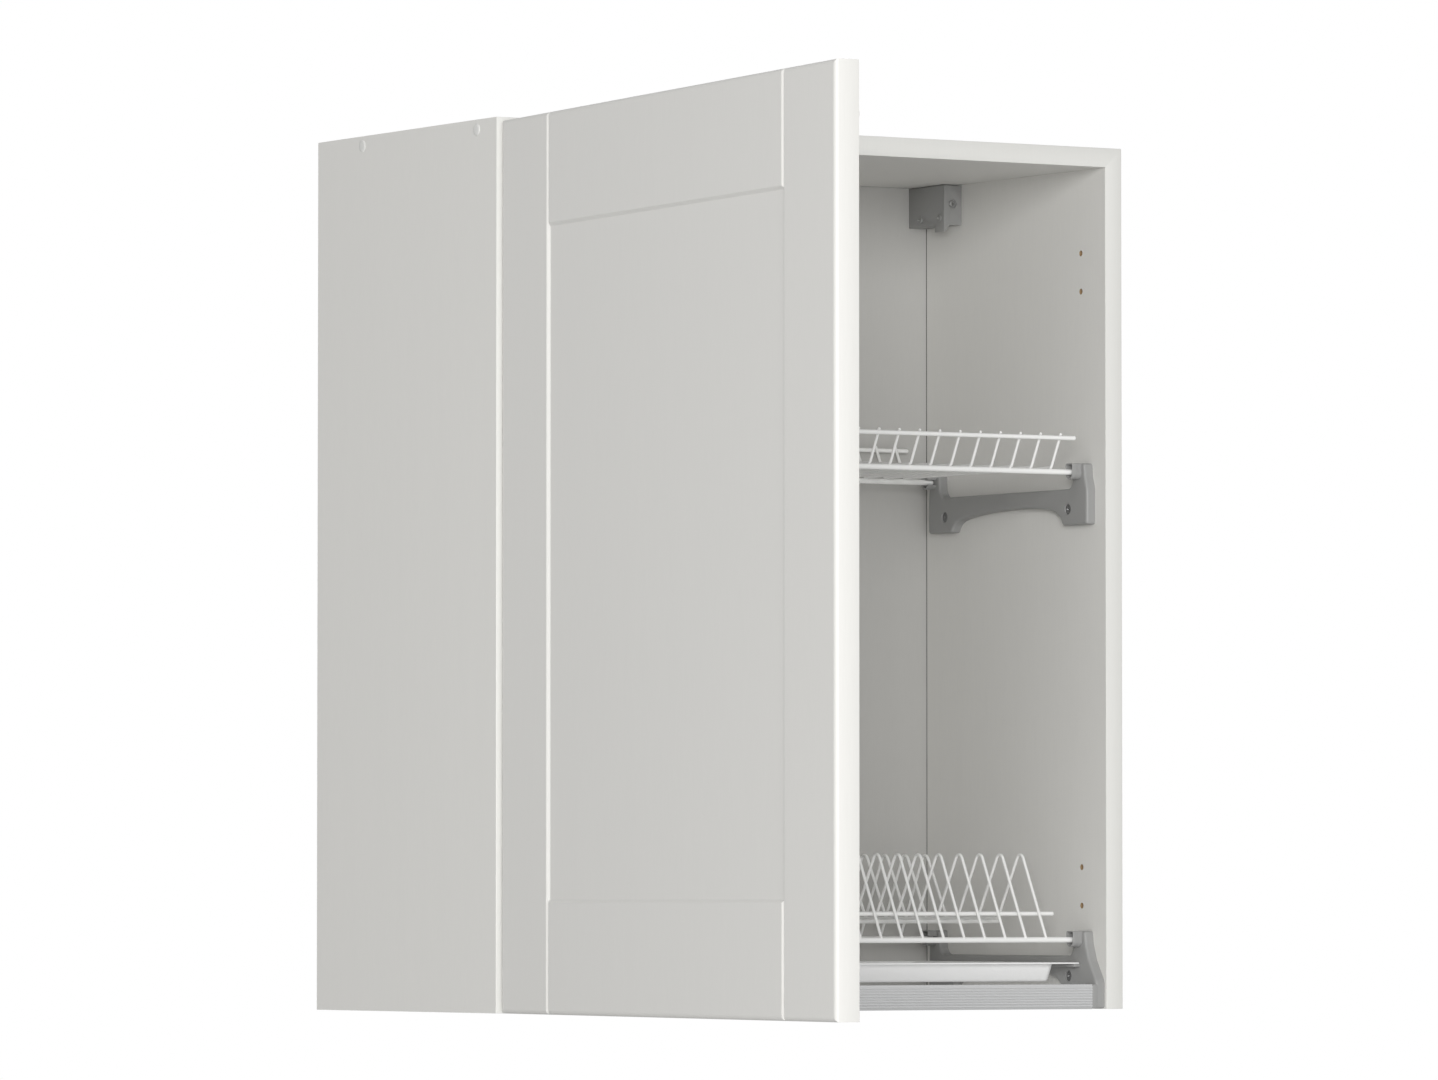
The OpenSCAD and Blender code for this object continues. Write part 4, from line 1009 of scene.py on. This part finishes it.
def screwPattern(kind):
    screw = screws[kind]
    head, shank, rise = screw["head"], screw["shank"], screw.get("rise", 0.0)
    if rise:
        crown, rim = raisedHead["crown"], raisedHead["rim"]
        outline = [(0, rise)]
        for angle in quarter(raisedHead["steps"])[1:]:
            bulge = math.cos(angle) ** raisedHead["fullness"]
            outline.append((head * (crown + (1 - crown) * math.sin(angle)),
                            rise * (rim + (1 - rim) * bulge)))
        outline += [(head, 0), (shank, 0)]
    else:
        top, rimTop, rimLow = -flatHead["low"], -flatHead["rimTop"], -flatHead["rimLow"]
        outline = [(0, top), (head - flatHead["round"], top), (head, rimTop), (head, rimLow),
                   (shank, -screw["sink"])]
    outline += [(shank, tipLength - screw["length"]), (0, -screw["length"])]
    pattern = addPiece("screwPattern", turned(outline, 28))
    return shadeByAngle(cutAway(pattern, [crossCutter(screw["cross"], rise)]), 35)


def bothSides(spots):
    return [(place(side * x, y, z), (side * dx, dy, dz))
            for side in (-1, 1) for (x, y, z), (dx, dy, dz) in spots]


hanger = {
    "inside": 266.5, "screws": ((227.5, 670.5), (258, 670.5)), "release": (266.9, 229.6, 662.1),
    "adjuster": (274.95, 221.6, 682.8),
}
hinge = {
    "armTop": 13.5, "armScrewY": (22, 48), "plateWing": 2.5, "plateY": 37, "holePitch": 32,
    "cupScrewX": 30, "cupScrewZ": 22.5, "cupLip": 1.2, "pinRadius": 1.22, "pinEdge": 0.2,
    "pins": {"armPins": ((-272.48, -5.17), 8.0), "linkPins": ((-264.88, -6.47), 5.3)},
}
profileScrew = (plateX - profile["screwIn"], profile["front"] + profile["screwBack"], 0)
pairs = [z + side * hinge["holePitch"] / 2 for z in door["hinges"] for side in (-1, 1)]
cupHeights = [z + side * hinge["cupScrewZ"] for z in door["hinges"] for side in (-1, 1)]
outward = (doorPlace(0, 1, 0) - doorPlace(0, 0, 0)).normalized()

# Each row is a piece's name, its kind of screw, its finish, its places, and the node that it
# stands for or only adds to
for name, kind, finish, spots, node, adds in (
    ("bracketScrewRow", "bracket", "screw_steel", bothSides([
        ((plateX + bracket["seat"], y, z - bracket["screwDrop"]), (-1, 0, 0))
        for y in bracket["screwY"] for z in (rack["cupHeight"], rack["plateHeight"])
    ]), "bracket_screws", False),
    ("hangerScrewRow", "hanger", "dull_steel", bothSides([
        ((hanger["inside"], y, z), (-1, 0, 0)) for y, z in hanger["screws"]
    ]), "hanger_screws", False),
    ("hangerAdjusterPair", "adjuster", "dull_steel",
     bothSides([(hanger["adjuster"], (0, -1, 0))]), "hanger_adjusters", False),
    ("hangerReleaseRow", "release", "dull_steel",
     bothSides([(hanger["release"], (-1, 0, 0))]), "hanger_screws", True),
    ("profileScrewPair", "profile", "plated_steel",
     bothSides([(profileScrew, (0, 0, -1))]), "profile_screws", False),
    ("armScrewSet", "arm", "plated_steel", [
        (place(-insideX + hinge["armTop"], y, z), (1, 0, 0))
        for z in door["hinges"] for y in hinge["armScrewY"]
    ], "hinge_arm_screws", False),
    ("plateScrewSet", "plate", "plated_steel", [
        (place(-insideX + hinge["plateWing"], hinge["plateY"], z), (1, 0, 0)) for z in pairs
    ], "hinge_plate_screws", False),
    ("cupScrewSet", "cup", "plated_steel", [
        (doorPlace(hinge["cupScrewX"], door["thick"] + hinge["cupLip"], z), outward)
        for z in cupHeights
    ], "hinge_cup_screws", False),
):
    keep(scatter(name, screwPattern(kind), spots, finish), node, adds=adds)


# Pins, caps and the linings of the drilled holes
turnings = {
    "cap": ((0, 0.9), (2.5, 0.86), (4.0, 0.74), (4.7, 0.5), (5.0, 0.15), (5.0, 0), (3.1, 0),
            (3.0, -1.8), (0, -1.8)),
    "lining": ((2.49, -0.15), (2.35, -0.2), (2.35, -10.2), (0, -10.4), (0, -10.9), (2.49, -10.9),
               (2.49, -0.15)),
}
caps = {"y": (32, 220), "drop": 8}


def turnedPattern(name, outline, sides, degrees):
    shape = turned(outline, sides)
    bmesh.ops.remove_doubles(shape, verts=shape.verts, dist=0.0000005)
    faceOutwards(shape)
    return shadeByAngle(addPiece(name, shape), degrees)


def pinPattern(half):
    radius, edge = hinge["pinRadius"], hinge["pinEdge"]
    outline = [(0, half), (radius - edge, half), (radius, half - edge), (radius, edge - half),
               (radius - edge, -half), (0, -half)]
    return turnedPattern("pinPattern", outline, 40, 50)


pinRows = []
for name, ((x, y), half) in hinge["pins"].items():
    spots = [(place(x, y, z), (0, 0, 1)) for z in door["hinges"]]
    pinRows.append(scatter(name, pinPattern(half), spots, "pin_steel"))
keep(joined("hingePins", pinRows), "hinge_arm_pins")

capSpots = bothSides([
    ((cabinet["width"] / 2, y, cabinet["height"] - caps["drop"]), (1, 0, 0)) for y in caps["y"]
])
capPattern = turnedPattern("capPattern", turnings["cap"], 40, 40)
keep(scatter("screwCapSet", capPattern, capSpots, "cap_plastic"), "screw_caps")

liningPattern = turnedPattern("liningPattern", turnings["lining"], 28, 40)
liningSpots = [(place(insideX, hinge["plateY"], z), (-1, 0, 0)) for z in pairs]
linings = scatter("holeLinings", liningPattern, liningSpots, "chipboard")
keep(linings, "right_side_panel", adds=True)
print("screws, pins, caps and linings made")

# Painted shadow: near-black strips in the open grooves in front of the back panel, standing in for
# the shade in those gaps
shadowStrip = {"depth": 0.8, "front": 275.05, "rear": 275.95, "low": 0.1}


def makeGapShadowStrips():
    shape = bmesh.new()
    front, rear, outside = shadowStrip["front"], shadowStrip["rear"], insideX + shadowStrip["depth"]
    upright = rectangle(front, rear, shadowStrip["low"], insideTop)
    crosswise(shape, upright, -outside, -insideX)
    crosswise(shape, upright, insideX, outside)
    above = rectangle(front, rear, insideTop, insideTop + shadowStrip["depth"])
    crosswise(shape, above, -insideX, insideX)
    keep(addPiece("backSeams", shape, "painted_gap_shadow"), "back_panel", adds=True)


makeGapShadowStrips()

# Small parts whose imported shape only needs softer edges
for node, width in (
    ("front_edge_bands", 0.5), ("left_hanger_housing", 0.7), ("right_hanger_housing", 0.7),
    ("left_hanger_hook", 0.35), ("right_hanger_hook", 0.35), ("hinge_cups", 0.2),
    ("hinge_plates", 0.35), ("hinge_arms", 0.3), ("hinge_outer_links", 0.2),
    ("hinge_inner_links", 0.2), ("door_bumpers", 0.4),
):
    softCopy(node, width)
print("softened parts made")

# Floor, lights and camera, in metres and degrees
stage = {
    "floor": (0, -0.15, -2.1), "radius": 18.0, "fadeStart": 3.0, "fadeRun": 7.0,
    "paper": (0.86, 0.86, 0.855, 1), "world": 0.38, "glossy": 0.85, "aim": (0, -0.2, -0.35),
    "lamps": {
        "keyBox": {"power": 258.0, "size": (2.2, 2.2), "turn": -34.0, "rise": 7.0, "far": 6.5},
        "frontBox": {"power": 105.0, "size": (3.4, 3.0), "turn": -16.0, "rise": 0.0, "far": 9.0},
    },
    "camera": {
        "sensor": 36.0, "lens": 228.06, "spot": (-3.9243, -6.5798, -0.6176),
        "turn": (92.269, 0, -31.372),
    },
}


def makeFloor():
    shape = bmesh.new()
    bmesh.ops.create_circle(shape, cap_ends=True, segments=96, radius=stage["radius"])
    bmesh.ops.translate(shape, verts=shape.verts, vec=stage["floor"])
    floor = addPiece("paleFloor", shape)
    material = bpy.data.materials.new("palePaper")
    graph = emptied(material)
    spot = graph.value("ShaderNodeTexCoord", output="Object")
    away = graph.value("ShaderNodeVectorMath", {0: spot}, {"operation": "LENGTH"}, "Value")
    fade = ((away - stage["fadeStart"]) / stage["fadeRun"]).clamped()
    matte = graph.value("ShaderNodeBsdfDiffuse", {"Color": stage["paper"]})
    bright = graph.value("ShaderNodeEmission", {"Color": (1, 1, 1, 1), "Strength": 1.0})
    seen = graph.value("ShaderNodeLightPath", output="Is Camera Ray")
    mixed = graph.value("ShaderNodeMixShader", {0: fade * seen, 1: matte, 2: bright})
    graph.add("ShaderNodeOutputMaterial", {"Surface": mixed})
    floor.data.materials.append(material)


# White where the camera looks and mostly white in reflections, but a dimmer light on the object
def makeWorld():
    world = bpy.data.worlds.new("studio")
    graph = emptied(world)
    light = graph.add("ShaderNodeLightPath")
    camera, glossy = (Value(graph, light.outputs[f"Is {ray} Ray"]) for ray in ("Camera", "Glossy"))
    seen = camera.high(glossy * stage["glossy"])
    strength = stage["world"] + seen * (1 - stage["world"])
    sky = graph.value("ShaderNodeBackground", {"Color": (1, 1, 1, 1), "Strength": strength})
    graph.add("ShaderNodeOutputWorld", {"Surface": sky})
    bpy.context.scene.world = world


# Turn is counted from the front towards the right, and rise from level upwards
def addLamp(name, look):
    data = bpy.data.lights.new(name, "AREA")
    data.energy = look["power"]
    data.shape = "RECTANGLE"
    data.size, data.size_y = look["size"]
    turn, rise = math.radians(look["turn"]), math.radians(look["rise"])
    flat = math.cos(rise)
    away = Vector((math.sin(turn) * flat, -math.cos(turn) * flat, math.sin(rise)))
    lamp = bpy.data.objects.new(name, data)
    lamp.location = Vector(stage["aim"]) + away * look["far"]
    lamp.rotation_euler = (-away).to_track_quat("-Z", "Y").to_euler()
    bpy.context.scene.collection.objects.link(lamp)


def addCamera(look):
    data = bpy.data.cameras.new("camera")
    data.sensor_width = look["sensor"]
    data.lens = look["lens"]
    camera = bpy.data.objects.new("camera", data)
    camera.location = look["spot"]
    camera.rotation_euler = [math.radians(angle) for angle in look["turn"]]
    bpy.context.scene.collection.objects.link(camera)
    bpy.context.scene.camera = camera


makeFloor()
makeWorld()
for name, look in stage["lamps"].items():
    addLamp(name, look)
addCamera(stage["camera"])
bpy.context.scene.view_settings.view_transform = "Standard"
